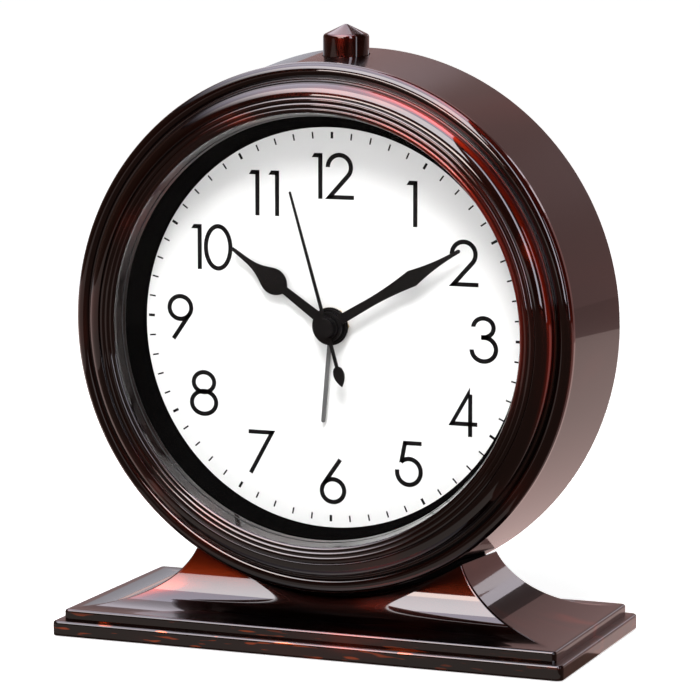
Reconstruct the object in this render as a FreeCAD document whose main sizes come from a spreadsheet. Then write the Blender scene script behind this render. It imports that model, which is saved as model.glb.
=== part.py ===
import FreeCAD, Part
import math
import os
import re
import Sketcher

# Pedestal desk alarm clock. X is to the right, the dial faces -Y, Z is up.
# The origin is the middle of the plinth's footprint on the table.
# Depths are places on Y; heights of head pieces are counted from the dial's axis.

os.makedirs("parts", exist_ok=True)
doc = FreeCAD.newDocument("desk_clock")
sheet = doc.addObject("Spreadsheet::Sheet", "Dims")

DRIVING = {
    # stand
    "plinthWidth": 152.4, "plinthDepth": 71.6, "lowerStepHeight": 4.6, "upperStepHeight": 3.1,
    "stepInset": 2.7, "edgeRound": 0.8, "cornerRound": 2.0, "standGap": 0.4,
    "coveWidth": 33.9, "coveDepth": 20.4, "coveHeight": 23.1, "saddleRadius": 77.1,
    "plinthWall": 5.0, "plinthRoof": 2.2, "basePlateThick": 1.5, "footRadius": 6.0,
    "neckHalfWidth": 30.0, "neckHalfDepth": 13.0, "neckRoof": 9.5, "headScrewSpan": 18.0,
    # head
    "axisHeight": 89.9, "bezelRadius": 74.0, "bezelBack": -19.4, "bezelFront": -26.4,
    "lipRadius": 58.9, "glassRadius": 60.5, "glassFront": -23.85, "glassThick": 1.6,
    "drumFrontRadius": 73.4, "drumRearRadius": 76.6, "drumRim": 12.8, "drumWall": 1.6,
    "flangeThick": 1.8, "flangeRadius": 62.0, "bezelScrewCircle": 67.0,
    "coverSeat": 12.6, "coverRadius": 72.1, "coverThick": 1.6, "coverScrewCircle": 69.6,
    "dialFace": -10.1, "dialThick": 1.0, "dialRadius": 59.6, "dialOpening": 56.5,
    # movement case
    "caseHalf": 29.0, "caseTop": 26.5, "caseFoot": -33.5, "caseFront": -9.1, "caseSplit": 3.6,
    "caseRear": 6.4, "caseWall": 1.2, "caseShelf": -15.2, "plateFront": -3.5,
    "cellHeight": -24.3, "cellDepth": -0.6, "cellRadius": 7.1, "cellLength": 50.5,
    "cellStart": -24.6, "lidInner": 5.0, "bushingRadius": 3.4,
    # back controls
    "switchX": -24.0, "switchZ": 14.0, "switchTravel": 4.2, "buzzerX": -44.0, "buzzerZ": -6.0,
    "knobFront": 15.0, "knobBack": 19.5,
    # top button
    "buttonRadius": 6.46, "buttonApex": 173.6, "buttonShoulder": 170.9, "buttonFoot": 161.5,
    "buttonSlack": 0.26, "stemRadius": 1.6, "cupFoot": 153.0, "switchFloor": 143.4,
    # running gear
    "trainModule": 0.25, "fineModule": 0.2, "secondModule": 0.28, "setModule": 0.3,
    "runningGap": 0.06, "secondArbor": 0.5, "minutePipe": 1.15, "hourPipe": 1.8,
    "alarmPipe": 2.44, "arborRadius": 0.4, "pivotRadius": 0.3, "setShaftRadius": 0.8,
}
for row, (alias, amount) in enumerate(DRIVING.items(), 1):
    sheet.set(f"A{row}", alias)
    sheet.set(f"B{row}", str(amount))
    sheet.setAlias(f"B{row}", alias)
doc.recompute()

ALIASES = re.compile(r"\b(" + "|".join(DRIVING) + r")\b")
AXIS_TURNS = {
    "Z": FreeCAD.Rotation(),
    "Y": FreeCAD.Rotation(FreeCAD.Vector(1, 0, 0), -90),
    "-Y": FreeCAD.Rotation(FreeCAD.Vector(1, 0, 0), 90),
    "X": FreeCAD.Rotation(FreeCAD.Vector(0, 1, 0), 90),
}
SIDES = (-1, 1)
nodes = []


# ---------- helpers ----------

def bound(expression):
    """The expression with every alias written as a cell of the sheet."""
    return ALIASES.sub(r"Dims.\1", str(expression))


def size(expression):
    return float(sheet.evalExpression(str(expression)))


def bind(thing, **properties):
    for name, expression in properties.items():
        thing.setExpression(name, bound(expression))


def place(thing, at, along="Z"):
    spot = FreeCAD.Vector(*[size(part) for part in at])
    thing.Placement = FreeCAD.Placement(spot, AXIS_TURNS[along])
    for letter, expression in zip("xyz", at):
        thing.setExpression("Placement.Base." + letter, bound(expression))
    return thing


def headPlace(x, y, z):
    """A place whose height is counted from the dial's axis."""
    return (x, y, f"axisHeight + {z}")


def cylinder(name, radius, length, at, along="Y"):
    solid = doc.addObject("Part::Cylinder", name)
    bind(solid, Radius=radius, Height=length)
    return place(solid, at, along)


def box(name, x, y, z):
    """A box between two planes on each axis; each span is a pair of expressions."""
    solid = doc.addObject("Part::Box", name)
    bind(solid, Length=f"({x[1]}) - ({x[0]})", Width=f"({y[1]}) - ({y[0]})",
         Height=f"({z[1]}) - ({z[0]})")
    return place(solid, (x[0], y[0], z[0]))


def headBox(name, x, y, z):
    return box(name, x, y, [f"axisHeight + {edge}" for edge in z])


def fuse(name, *pieces):
    whole = doc.addObject("Part::MultiFuse", name)
    whole.Shapes = list(pieces)
    whole.Refine = True
    return whole


def common(name, first, second):
    whole = doc.addObject("Part::MultiCommon", name)
    whole.Shapes = [first, second]
    whole.Refine = True
    return whole


def cut(name, base, *tools):
    whole = doc.addObject("Part::Cut", name)
    whole.Base = base
    whole.Tool = tools[0] if len(tools) == 1 else fuse(name + "_tools", *tools)
    whole.Refine = True
    return whole


def group(name, pieces):
    whole = doc.addObject("Part::Compound", name)
    whole.Links = list(pieces)
    return whole


def rounded(name, base, radius, wanted):
    """Part::Fillet on the edges of base that the test wanted accepts."""
    doc.recompute()
    fillet = doc.addObject("Part::Fillet", name)
    fillet.Base = base
    fillet.Edges = [(number, size(radius), size(radius))
                    for number, edge in enumerate(base.Shape.Edges, 1) if wanted(edge)]
    return fillet


def made(name, shape):
    feature = doc.addObject("Part::Feature", name)
    feature.Shape = shape
    return feature


def node(piece):
    """Marks a piece as a separate node; its label names the file."""
    nodes.append(piece)
    return piece


def originPlane(body, role):
    return next(plane for plane in body.Origin.OriginFeatures if plane.Role == role)


def turned(name, outline, lift="axisHeight", upright=False):
    """A body of revolution about Y, or about Z when upright. Each corner of the outline is
    (radius, place on the axis); a third value is the radius of an arc to the next corner."""
    body = doc.addObject("PartDesign::Body", name)
    sketch = body.newObject("Sketcher::SketchObject", name + "_profile")
    sketch.AttachmentSupport = [(originPlane(body, "XZ_Plane" if upright else "XY_Plane"), "")]
    sketch.MapMode = "FlatFace"
    corners = [FreeCAD.Vector(size(corner[0]), size(corner[1]), 0) for corner in outline]
    for number, corner in enumerate(outline):
        start = corners[number]
        end = corners[(number + 1) % len(corners)]
        if len(corner) == 2:
            sketch.addGeometry(Part.LineSegment(start, end))
            continue
        radius = size(corner[2])
        chord = end - start
        outward = FreeCAD.Vector(chord.y, -chord.x, 0).normalize()
        sagitta = radius - math.sqrt(radius ** 2 - (chord.Length / 2) ** 2)
        sketch.addGeometry(Part.Arc(start, (start + end) * 0.5 + outward * sagitta, end))
    ends = []
    for number, curve in enumerate(sketch.Geometry):
        forward = (curve.StartPoint - corners[number]).Length < 1e-6
        ends.append((1, 2) if forward else (2, 1))
    for number, corner in enumerate(outline):
        for kind, expression, value in (("DistanceX", corner[0], corners[number].x),
                                        ("DistanceY", corner[1], corners[number].y)):
            rule = Sketcher.Constraint(kind, -1, 1, number, ends[number][0], value)
            position = sketch.addConstraint(rule)
            sketch.setExpression(f"Constraints[{position}]", bound(expression))
        after = (number + 1) % len(outline)
        sketch.addConstraint(Sketcher.Constraint("Coincident", number, ends[number][1],
                                                 after, ends[after][0]))
        if len(corner) == 3:
            sketch.addConstraint(Sketcher.Constraint("Radius", number, size(corner[2])))
    turn = body.newObject("PartDesign::Revolution", name + "_turn")
    turn.Profile = sketch
    turn.ReferenceAxis = (sketch, ["V_Axis"])
    turn.Angle = 360
    body.Tip = turn
    bind(body, **{"Placement.Base.z": lift})
    return body


def disc(name, inner, outer, front, back):
    """A flat ring about the dial's axis, or a full disc when inner is "0"."""
    return turned(name, [(inner, front), (outer, front), (outer, back), (inner, back)])


def ellipseBar(name, halfLong, halfShort, length, at, turn):
    """A bar of elliptical section, which cuts a cove."""
    ellipse = doc.addObject("Part::Ellipse", name + "_section")
    bind(ellipse, MajorRadius=halfLong, MinorRadius=halfShort)
    bar = doc.addObject("Part::Extrusion", name)
    bar.Base = ellipse
    bar.DirMode = "Custom"
    bar.Dir = FreeCAD.Vector(0, 0, 1)
    bar.Symmetric = True
    bar.Solid = True
    bind(bar, LengthFwd=length)
    place(bar, at)
    bar.Placement = FreeCAD.Placement(bar.Placement.Base, turn)
    return bar


def screw(name, headRadius, headLength, shankRadius, shankLength, at, along):
    """A cross-slotted screw: its head starts at the place given and its shank runs on."""
    forward = AXIS_TURNS[along].multVec(FreeCAD.Vector(0, 0, 1))
    neck = tuple(f"{start} + {headLength * step:g}" for start, step in zip(at, forward))
    head = cylinder(name + "_head", headRadius, headLength, at, along)
    shank = cylinder(name + "_shank", shankRadius, shankLength, neck, along)
    slots = []
    for number, turn in enumerate((0, 90)):
        slot = doc.addObject("Part::Box", f"{name}_slot_{number}")
        slot.Length = headRadius * 1.2
        slot.Width = headRadius * 0.24
        slot.Height = headLength * 0.5
        centring = FreeCAD.Placement(FreeCAD.Vector(-slot.Length / 2, -slot.Width / 2, 0),
                                     FreeCAD.Rotation(FreeCAD.Vector(0, 0, 1), turn),
                                     FreeCAD.Vector(slot.Length / 2, slot.Width / 2, 0))
        slot.Placement = head.Placement.multiply(centring)
        slots.append(slot)
    return cut(name, fuse(name + "_blank", head, shank), *slots)


def polar(distance, turn, start=(0.0, 0.0)):
    """The (x, height) at a distance and an angle, anticlockwise from +X, from a start."""
    return (start[0] + distance * math.cos(math.radians(turn)),
            start[1] + distance * math.sin(math.radians(turn)))


def corners(circle, turns=(45, 135, 225, 315)):
    return [polar(size(circle), turn) for turn in turns]


def isUpright(edge):
    return abs(edge.Vertexes[0].Z - edge.Vertexes[-1].Z) > 1


def atHeight(level):
    return lambda edge: edge.BoundBox.ZMin > level - 1e-4 and edge.BoundBox.ZMax < level + 1e-4


# ---------- stand ----------

STEP_TOP = "(lowerStepHeight + upperStepHeight)"
PLATE_SCREWS = [(x, y) for x in (-46, 46) for y in (-25, 25)]
FEET = [(x, y) for x in (-62, 62) for y in (-23, 23)]


def makeStep(name, inset, low, high, corner):
    """One step of the plinth with rounded corners and a rounded top edge."""
    block = box(name + "_block",
                [f"-plinthWidth / 2 + {inset}", f"plinthWidth / 2 - {inset}"],
                [f"-plinthDepth / 2 + {inset}", f"plinthDepth / 2 - {inset}"], [low, high])
    upright = rounded(name + "_corners", block, corner, isUpright)
    return rounded(name, upright, "edgeRound", atHeight(size(high)))


def makePedestal():
    coveTop = f"{STEP_TOP} + coveHeight"
    halfWidth = "(plinthWidth / 2 - stepInset - edgeRound)"
    halfDepth = "(plinthDepth / 2 - stepInset - edgeRound)"
    lower = makeStep("lower_step", "0", "standGap", "lowerStepHeight", "cornerRound")
    upper = makeStep("upper_step", "stepInset", "lowerStepHeight - 1", STEP_TOP,
                     "cornerRound - 0.6")
    coved = box("pedestal_block", [f"-{halfWidth}", halfWidth], [f"-{halfDepth}", halfDepth],
                [f"{STEP_TOP} - 0.5", coveTop])
    alongY = FreeCAD.Rotation(FreeCAD.Vector(1, 0, 0), 90)
    alongX = FreeCAD.Rotation(FreeCAD.Vector(0, 1, 0), -90)
    for side in SIDES:
        sideCove = ellipseBar(f"side_cove_{side + 1}", "coveWidth", "coveHeight",
                              "plinthDepth", (f"{side} * {halfWidth}", "0", coveTop), alongY)
        faceCove = ellipseBar(f"face_cove_{side + 1}", "coveHeight", "coveDepth",
                              "plinthWidth", ("0", f"{side} * {halfDepth}", coveTop), alongX)
        coved = cut(f"side_coved_{side + 1}", coved, sideCove)
        coved = cut(f"face_coved_{side + 1}", coved, faceCove)
    solid = fuse("stand_solid", lower, upper, coved)
    saddle = cylinder("saddle", "saddleRadius", "plinthDepth",
                      ("0", "-plinthDepth / 2", "axisHeight"))
    hollow = box("plinth_hollow", ["-plinthWidth / 2 + plinthWall", "plinthWidth / 2 - plinthWall"],
                 ["-plinthDepth / 2 + plinthWall", "plinthDepth / 2 - plinthWall"],
                 ["0", f"{STEP_TOP} - plinthRoof"])
    neck = box("neck_hollow", ["-neckHalfWidth", "neckHalfWidth"],
               ["-neckHalfDepth", "neckHalfDepth"], ["0", "neckRoof"])
    bores = [cylinder(f"head_screw_bore_{side + 1}", "2.2", "30",
                      (f"{side} * headScrewSpan", "0", "1"), "Z") for side in SIDES]
    shell = cut("stand_shell", solid, saddle, hollow, neck, *bores)
    postFoot = "(standGap + basePlateThick)"
    posts = [cylinder(f"plate_post_{i}", "3.2", f"{STEP_TOP} - 1 - {postFoot}",
                      (x, y, postFoot), "Z") for i, (x, y) in enumerate(PLATE_SCREWS)]
    threads = [cylinder(f"plate_thread_{i}", "1.3", "4.1", (x, y, "1"), "Z")
               for i, (x, y) in enumerate(PLATE_SCREWS)]
    node(cut("pedestal_base", fuse("stand_with_posts", shell, *posts), *threads))


def makeBasePlate():
    edge = "plinthWall - 0.2"
    plate = box("bottom_sheet", [f"-plinthWidth / 2 + {edge} + 0.4", f"plinthWidth / 2 - {edge} - 0.4"],
                [f"-plinthDepth / 2 + {edge} + 0.4", f"plinthDepth / 2 - {edge} - 0.4"],
                ["standGap", "standGap + basePlateThick"])
    recesses = [cylinder(f"foot_recess_{i}", "footRadius + 0.1", "0.6", (x, y, "standGap"), "Z")
                for i, (x, y) in enumerate(FEET)]
    holes = [cylinder(f"plate_hole_{i}", "1.5", "3", (x, y, "0"), "Z")
             for i, (x, y) in enumerate(PLATE_SCREWS)]
    sinks = [cylinder(f"plate_sink_{i}", "2.8", "0.9", (x, y, "standGap"), "Z")
             for i, (x, y) in enumerate(PLATE_SCREWS)]
    node(cut("base_plate", plate, *recesses, *holes, *sinks))
    node(group("rubber_feet", [cylinder(f"foot_{i}", "footRadius", "1", (x, y, "0"), "Z")
                               for i, (x, y) in enumerate(FEET)]))
    node(group("base_screws", [screw(f"base_screw_{i}", 2.6, 0.8, 1.3, 3.6,
                                     (x, y, "standGap + 0.1"), "Z")
                               for i, (x, y) in enumerate(PLATE_SCREWS)]))
    node(group("head_screws", [screw(f"head_screw_{side + 1}", 3.6, 2.4, 1.95, 11.4,
                                     (f"{side} * headScrewSpan", "0", "neckRoof - 2.4"), "Z")
                               for side in SIDES]))


# ---------- drum, bezel and dial ----------

def drumRadius(depth):
    """Outer radius of the tapered drum, as an expression, at a depth."""
    return (f"(drumFrontRadius + (drumRearRadius - drumFrontRadius) * ({depth} - bezelBack)"
            " / (drumRim - bezelBack))")


def drumCone(name, half, shrink):
    """The room inside the drum's outer surface, between two planes half each way."""
    return turned(name, [("0", f"-{half}"), (f"{drumRadius(f'(-{half})')} - {shrink}", f"-{half}"),
                         (f"{drumRadius(half)} - {shrink}", half), ("0", half)])


def makeDrum():
    lipBack = "drumRim + 1.6"
    seatFront = "(coverSeat - 1.6)"
    flangeBack = "(bezelBack + flangeThick)"
    shell = turned("drum_shell", [
        ("flangeRadius", "bezelBack"),
        ("drumFrontRadius", "bezelBack"),
        ("drumRearRadius", "drumRim", "1.7"),
        ("drumRearRadius - 1.6", lipBack),
        ("coverRadius + 0.3", lipBack),
        ("coverRadius + 0.3", "coverSeat"),
        ("coverScrewCircle - 2.6", "coverSeat"),
        ("coverScrewCircle - 2.6", seatFront),
        (drumRadius(seatFront) + " - drumWall", seatFront),
        (drumRadius(flangeBack) + " - drumWall", flangeBack),
        ("flangeRadius", flangeBack),
    ])
    bosses = [cylinder(f"drum_boss_{side + 1}", "5", "6", (f"{side} * headScrewSpan", "0", "15.9"),
                       "Z") for side in SIDES]
    bossed = fuse("drum_bossed", shell, common("drum_bosses", fuse("boss_pair", *bosses),
                                               drumCone("boss_room", "8", "0.4")))
    threads = [cylinder(f"drum_thread_{side + 1}", "1.95", "12",
                        (f"{side} * headScrewSpan", "0", "12"), "Z") for side in SIDES]
    buttonHole = cylinder("button_hole", "buttonRadius + buttonSlack", "20",
                          ("0", "0", "buttonFoot - 5"), "Z")
    coverBores = [cylinder(f"cover_bore_{i}", "1.1", "4", headPlace(x, "coverSeat - 3", z))
                  for i, (x, z) in enumerate(corners("coverScrewCircle"))]
    bezelBores = [cylinder(f"bezel_bore_{i}", "1.3", "4", headPlace(x, "bezelBack - 1", z))
                  for i, (x, z) in enumerate(corners("bezelScrewCircle"))]
    return node(cut("drum_case", bossed, *threads, buttonHole, *coverBores, *bezelBores))


def makeSaddlePad():
    """The soft pad between the pedestal's saddle and the tapered drum."""
    seat = cylinder("pad_seat", "saddleRadius", "21", ("0", "-10.5", "axisHeight"))
    limits = box("pad_limits", ["-36", "36"], ["-10.5", "10.5"], ["8", "26"])
    bores = [cylinder(f"pad_bore_{side + 1}", "2.2", "30", (f"{side} * headScrewSpan", "0", "1"),
                      "Z") for side in SIDES]
    node(cut("saddle_pad", common("pad_blank", seat, limits), drumCone("pad_room", "12", "0"),
             *bores))


def makeBezel():
    """The moulded ring, its glass and the gasket behind the glass."""
    glassBack = "(glassFront + glassThick)"
    ring = turned("bezel_ring", [
        ("63.6", "bezelBack"),
        ("63.6", glassBack + " + 0.15"),
        ("glassRadius + 0.3", glassBack + " + 0.15"),
        ("glassRadius + 0.3", "glassFront"),
        ("lipRadius", "glassFront"),
        ("lipRadius", "bezelFront + 1.7", "1.0"),
        ("lipRadius + 1.35", "bezelFront + 0.8", "1.0"),
        ("lipRadius + 2.7", "bezelFront + 0.4", "1.1"),
        ("lipRadius + 4.15", "bezelFront + 0.3", "1.3"),
        ("lipRadius + 5.8", "bezelFront + 0.4"),
        ("lipRadius + 6.0", "bezelFront", "4.25"),
        ("bezelRadius - 4.9", "bezelFront + 4.0"),
        ("bezelRadius - 4.3", "bezelFront + 4.0"),
        ("bezelRadius - 4.1", "bezelFront + 4.5", "2.5"),
        ("bezelRadius", "bezelFront + 5.6"),
        ("bezelRadius", "bezelBack"),
    ])
    bores = [cylinder(f"bezel_thread_{i}", "1.1", "3.6", headPlace(x, "bezelBack - 3", z))
             for i, (x, z) in enumerate(corners("bezelScrewCircle"))]
    node(cut("bezel", ring, *bores))
    screwHead = 1.2
    node(group("bezel_screws", [
        screw(f"bezel_screw_{i}", 2.3, screwHead, 1.1, 4.2,
              headPlace(x, f"bezelBack + flangeThick + {screwHead}", z), "-Y")
        for i, (x, z) in enumerate(corners("bezelScrewCircle"))]))
    node(disc("glass_lens", "0", "glassRadius", "glassFront", glassBack))
    gasketBack = f"{glassBack} + 0.6"
    node(disc("lens_gasket", "lipRadius + 0.5", "glassRadius", glassBack, gasketBack))
    return gasketBack


def makeDial(ringFront):
    """The dark cone between the glass and the dial, and the dial plate it holds."""
    dialBack = "(dialFace + dialThick)"
    node(turned("reflector_ring", [
        ("lipRadius + 0.1", ringFront),
        ("63.3", ringFront),
        ("63.3", "bezelBack"),
        ("flangeRadius - 0.4", "bezelBack"),
        ("flangeRadius - 1.6", "bezelBack + 1"),
        ("dialOpening + 1.6", "dialFace - 2"),
        ("dialRadius + 1.5", "dialFace - 1.6"),
        ("dialRadius + 1.5", dialBack),
        ("dialRadius + 0.1", dialBack),
        ("dialRadius + 0.1", "dialFace"),
        ("dialOpening", "dialFace"),
    ]))
    node(disc("dial_plate", "bushingRadius + 0.05", "dialRadius", "dialFace", dialBack))
    nut = doc.addObject("Part::Prism", "nut_blank")
    nut.Polygon = 6
    bind(nut, Circumradius="bushingRadius + 1.6", Height="0.85")
    place(nut, headPlace("0", "dialFace - 0.9", "0"), "Y")
    thread = cylinder("nut_thread", "bushingRadius", "4", headPlace("0", "dialFace - 2", "0"))
    node(cut("hub_nut", nut, thread))


# ---------- back cover ----------

def makeBackCover():
    front = "(coverSeat + 0.05)"
    back = "(coverSeat + 0.05 + coverThick)"
    sheetDisc = disc("cover_disc", "0", "coverRadius", front, back)
    ridge = disc("cover_ridge", "coverRadius - 13.6", "coverRadius - 11.6", back + " - 0.4",
                 back + " + 0.7")
    rails = [headBox(f"switch_rail_{side + 1}", ["switchX - 8", "switchX + 8"],
                     [f"{front} - 1.7", f"{front} + 0.2"],
                     [f"switchZ + {side} * 3.4 - 0.6", f"switchZ + {side} * 3.4 + 0.6"])
             for side in SIDES]
    opening = headBox("cell_opening", ["-27", "27"], ["0", "20"], ["-32", "-16.6"])
    recess = headBox("door_recess", ["-29.8", "29.8"], [back + " - 0.8", "20"], ["-35", "-14.2"])
    shaftHoles = [cylinder(f"shaft_hole_{i}", "1.5", "10", headPlace(x, "8", z))
                  for i, (x, z) in enumerate((TIME_SET, ALARM_SET))]
    slot = headBox("switch_slot", ["switchX - switchTravel - 0.2", "switchX + switchTravel + 0.2"],
                   ["8", "20"], ["switchZ - 1.2", "switchZ + 1.2"])
    grille = [headBox(f"sound_slot_{i}", ["buzzerX - 6", "buzzerX + 6"], ["8", "20"],
                      [f"buzzerZ + {level} - 0.6", f"buzzerZ + {level} + 0.6"])
              for i, level in enumerate((-5, -2.5, 0, 2.5, 5))]
    screwHoles = [cylinder(f"cover_hole_{i}", "1.3", "6", headPlace(x, "coverSeat - 1", z))
                  for i, (x, z) in enumerate(corners("coverScrewCircle"))]
    node(cut("back_cover", fuse("cover_blank", sheetDisc, ridge, *rails), opening, recess,
             *shaftHoles, slot, *grille, *screwHoles))
    screwHead = 1.1
    node(group("cover_screws", [
        screw(f"cover_screw_{i}", 2.3, screwHead, 1.1, 4.0,
              headPlace(x, f"{back} + {screwHead}", z), "-Y")
        for i, (x, z) in enumerate(corners("coverScrewCircle"))]))
    door = headBox("door_sheet", ["-29.6", "29.6"], [back + " - 0.75", back], ["-34.8", "-14.4"])
    grips = [headBox(f"door_grip_{i}", [f"{x}", f"{x} + 1"], [back + " - 0.1", back + " + 0.4"],
                     ["-18.5", "-16"]) for i, x in enumerate(range(-6, 7, 2))]
    node(fuse("battery_door", door, *grips))
    tongue = headBox("switch_tongue", ["switchX - switchTravel", "switchX - 0.2"],
                     [f"{front} - 1.2", back + " + 1.4"], ["switchZ - 1", "switchZ + 1"])
    slide = headBox("switch_slide", ["switchX - 7", "switchX + 3"],
                    [f"{front} - 1.5", f"{front} - 0.1"], ["switchZ - 2.6", "switchZ + 2.6"])
    node(fuse("alarm_switch", tongue, slide))
    node(cylinder("buzzer", "9", "2.4", headPlace("buzzerX", f"{front} - 2.4", "buzzerZ")))


# ---------- wheel train ----------

TRAIN = size("trainModule")
FINE = size("fineModule")
SETTING = size("setModule")
SECOND_MODULE = size("secondModule")
SECOND_PINION, SECOND_WHEEL = 8, 50
THIRD_PINION, THIRD_WHEEL = 8, 60
CENTRE_WHEEL, CANNON_PINION = 64, 12
MINUTE_PINION, MINUTE_WHEEL = 10, 36
HOUR_WHEEL = 40
FIFTH_PINION, FIFTH_WHEEL = 10, 60
ROTOR_PINION = 10
ALARM_WHEEL, ALARM_PINION = 48, 16
CENTRE = (0.0, 0.0)
# Each arbor stands at its mesh distance along one of these angles.
THIRD_TURN, FIFTH_TURN, ROTOR_TURN = 200, 120, 170
MINUTE_TURN, TIME_TURN, ALARM_TURN = 60, 30, -60
THIRD_DISTANCE = TRAIN * (SECOND_PINION + THIRD_WHEEL) / 2
THIRD = polar(THIRD_DISTANCE, THIRD_TURN)
CENTRE_MODULE = 2 * THIRD_DISTANCE / (THIRD_PINION + CENTRE_WHEEL)
FIFTH = polar(SECOND_MODULE * (FIFTH_PINION + SECOND_WHEEL) / 2, FIFTH_TURN)
ROTOR = polar(FINE * (ROTOR_PINION + FIFTH_WHEEL) / 2, ROTOR_TURN, FIFTH)
MINUTE_DISTANCE = TRAIN * (CANNON_PINION + MINUTE_WHEEL) / 2
MINUTE = polar(MINUTE_DISTANCE, MINUTE_TURN)
HOUR_MODULE = 2 * MINUTE_DISTANCE / (MINUTE_PINION + HOUR_WHEEL)
TIME_SET = polar(MINUTE_DISTANCE, TIME_TURN, MINUTE)
ALARM_SET = polar(SETTING * (ALARM_WHEEL + ALARM_PINION) / 2, ALARM_TURN)
TRAIN_ARBORS = (THIRD, FIFTH, ROTOR)
SET_SHAFTS = (TIME_SET, ALARM_SET)


def rod(radius, depths, middle=CENTRE):
    """A round bar along Y at an (x, height) from the dial's axis."""
    return Part.makeCylinder(radius, depths[1] - depths[0],
                             FreeCAD.Vector(middle[0], depths[0], middle[1]),
                             FreeCAD.Vector(0, 1, 0))


def pipe(inner, outer, depths):
    return rod(outer, depths).cut(rod(inner, depths))


def gear(teeth, module, middle, depths, phase, bore=0.0):
    """A spur gear about Y with one tooth centred on the angle phase."""
    pitch = module * teeth / 2
    addendum, dedendum = 0.9 * module, 1.15 * module
    half = 0.86 * math.pi / (2 * teeth)
    narrowing = math.tan(math.radians(20)) * addendum / pitch
    outline = []
    for number in range(teeth):
        centre = math.radians(phase) + number * 2 * math.pi / teeth
        for radius, turn in ((pitch - dedendum, -half), (pitch, -half),
                             (pitch + addendum, narrowing - half),
                             (pitch + addendum, half - narrowing), (pitch, half),
                             (pitch - dedendum, half)):
            outline.append(FreeCAD.Vector(middle[0] + radius * math.cos(centre + turn), depths[0],
                                          middle[1] + radius * math.sin(centre + turn)))
    outline.append(outline[0])
    face = Part.Face(Part.makePolygon(outline))
    solid = face.extrude(FreeCAD.Vector(0, depths[1] - depths[0], 0))
    return solid.cut(rod(bore, depths, middle)) if bore else solid


def matePhase(teeth, phase, direction, mateTeeth):
    """The mate's phase, so that its gap faces a tooth of the gear along the direction."""
    beyond = ((direction - phase) / (360 / teeth)) % 1
    return direction + 180 + (beyond + 0.5) * 360 / mateTeeth


def headShape(name, *solids):
    """One node of united solids, lifted to the dial's axis."""
    whole = solids[0].fuse(list(solids[1:])) if len(solids) > 1 else solids[0]
    feature = made(name, whole.removeSplitter())
    return node(place(feature, ("0", "0", "axisHeight")))


def arbor(middle):
    """An arbor between the middle plate and the lid, with a thin pivot at each end."""
    plateBack = size("plateFront + 0.8")
    lid = size("lidInner")
    radius, pivot = size("arborRadius"), size("pivotRadius")
    return [rod(radius, (plateBack + 0.05, lid - 0.1), middle),
            rod(pivot, (plateBack - 0.6, lid + 0.6), middle)]


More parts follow.
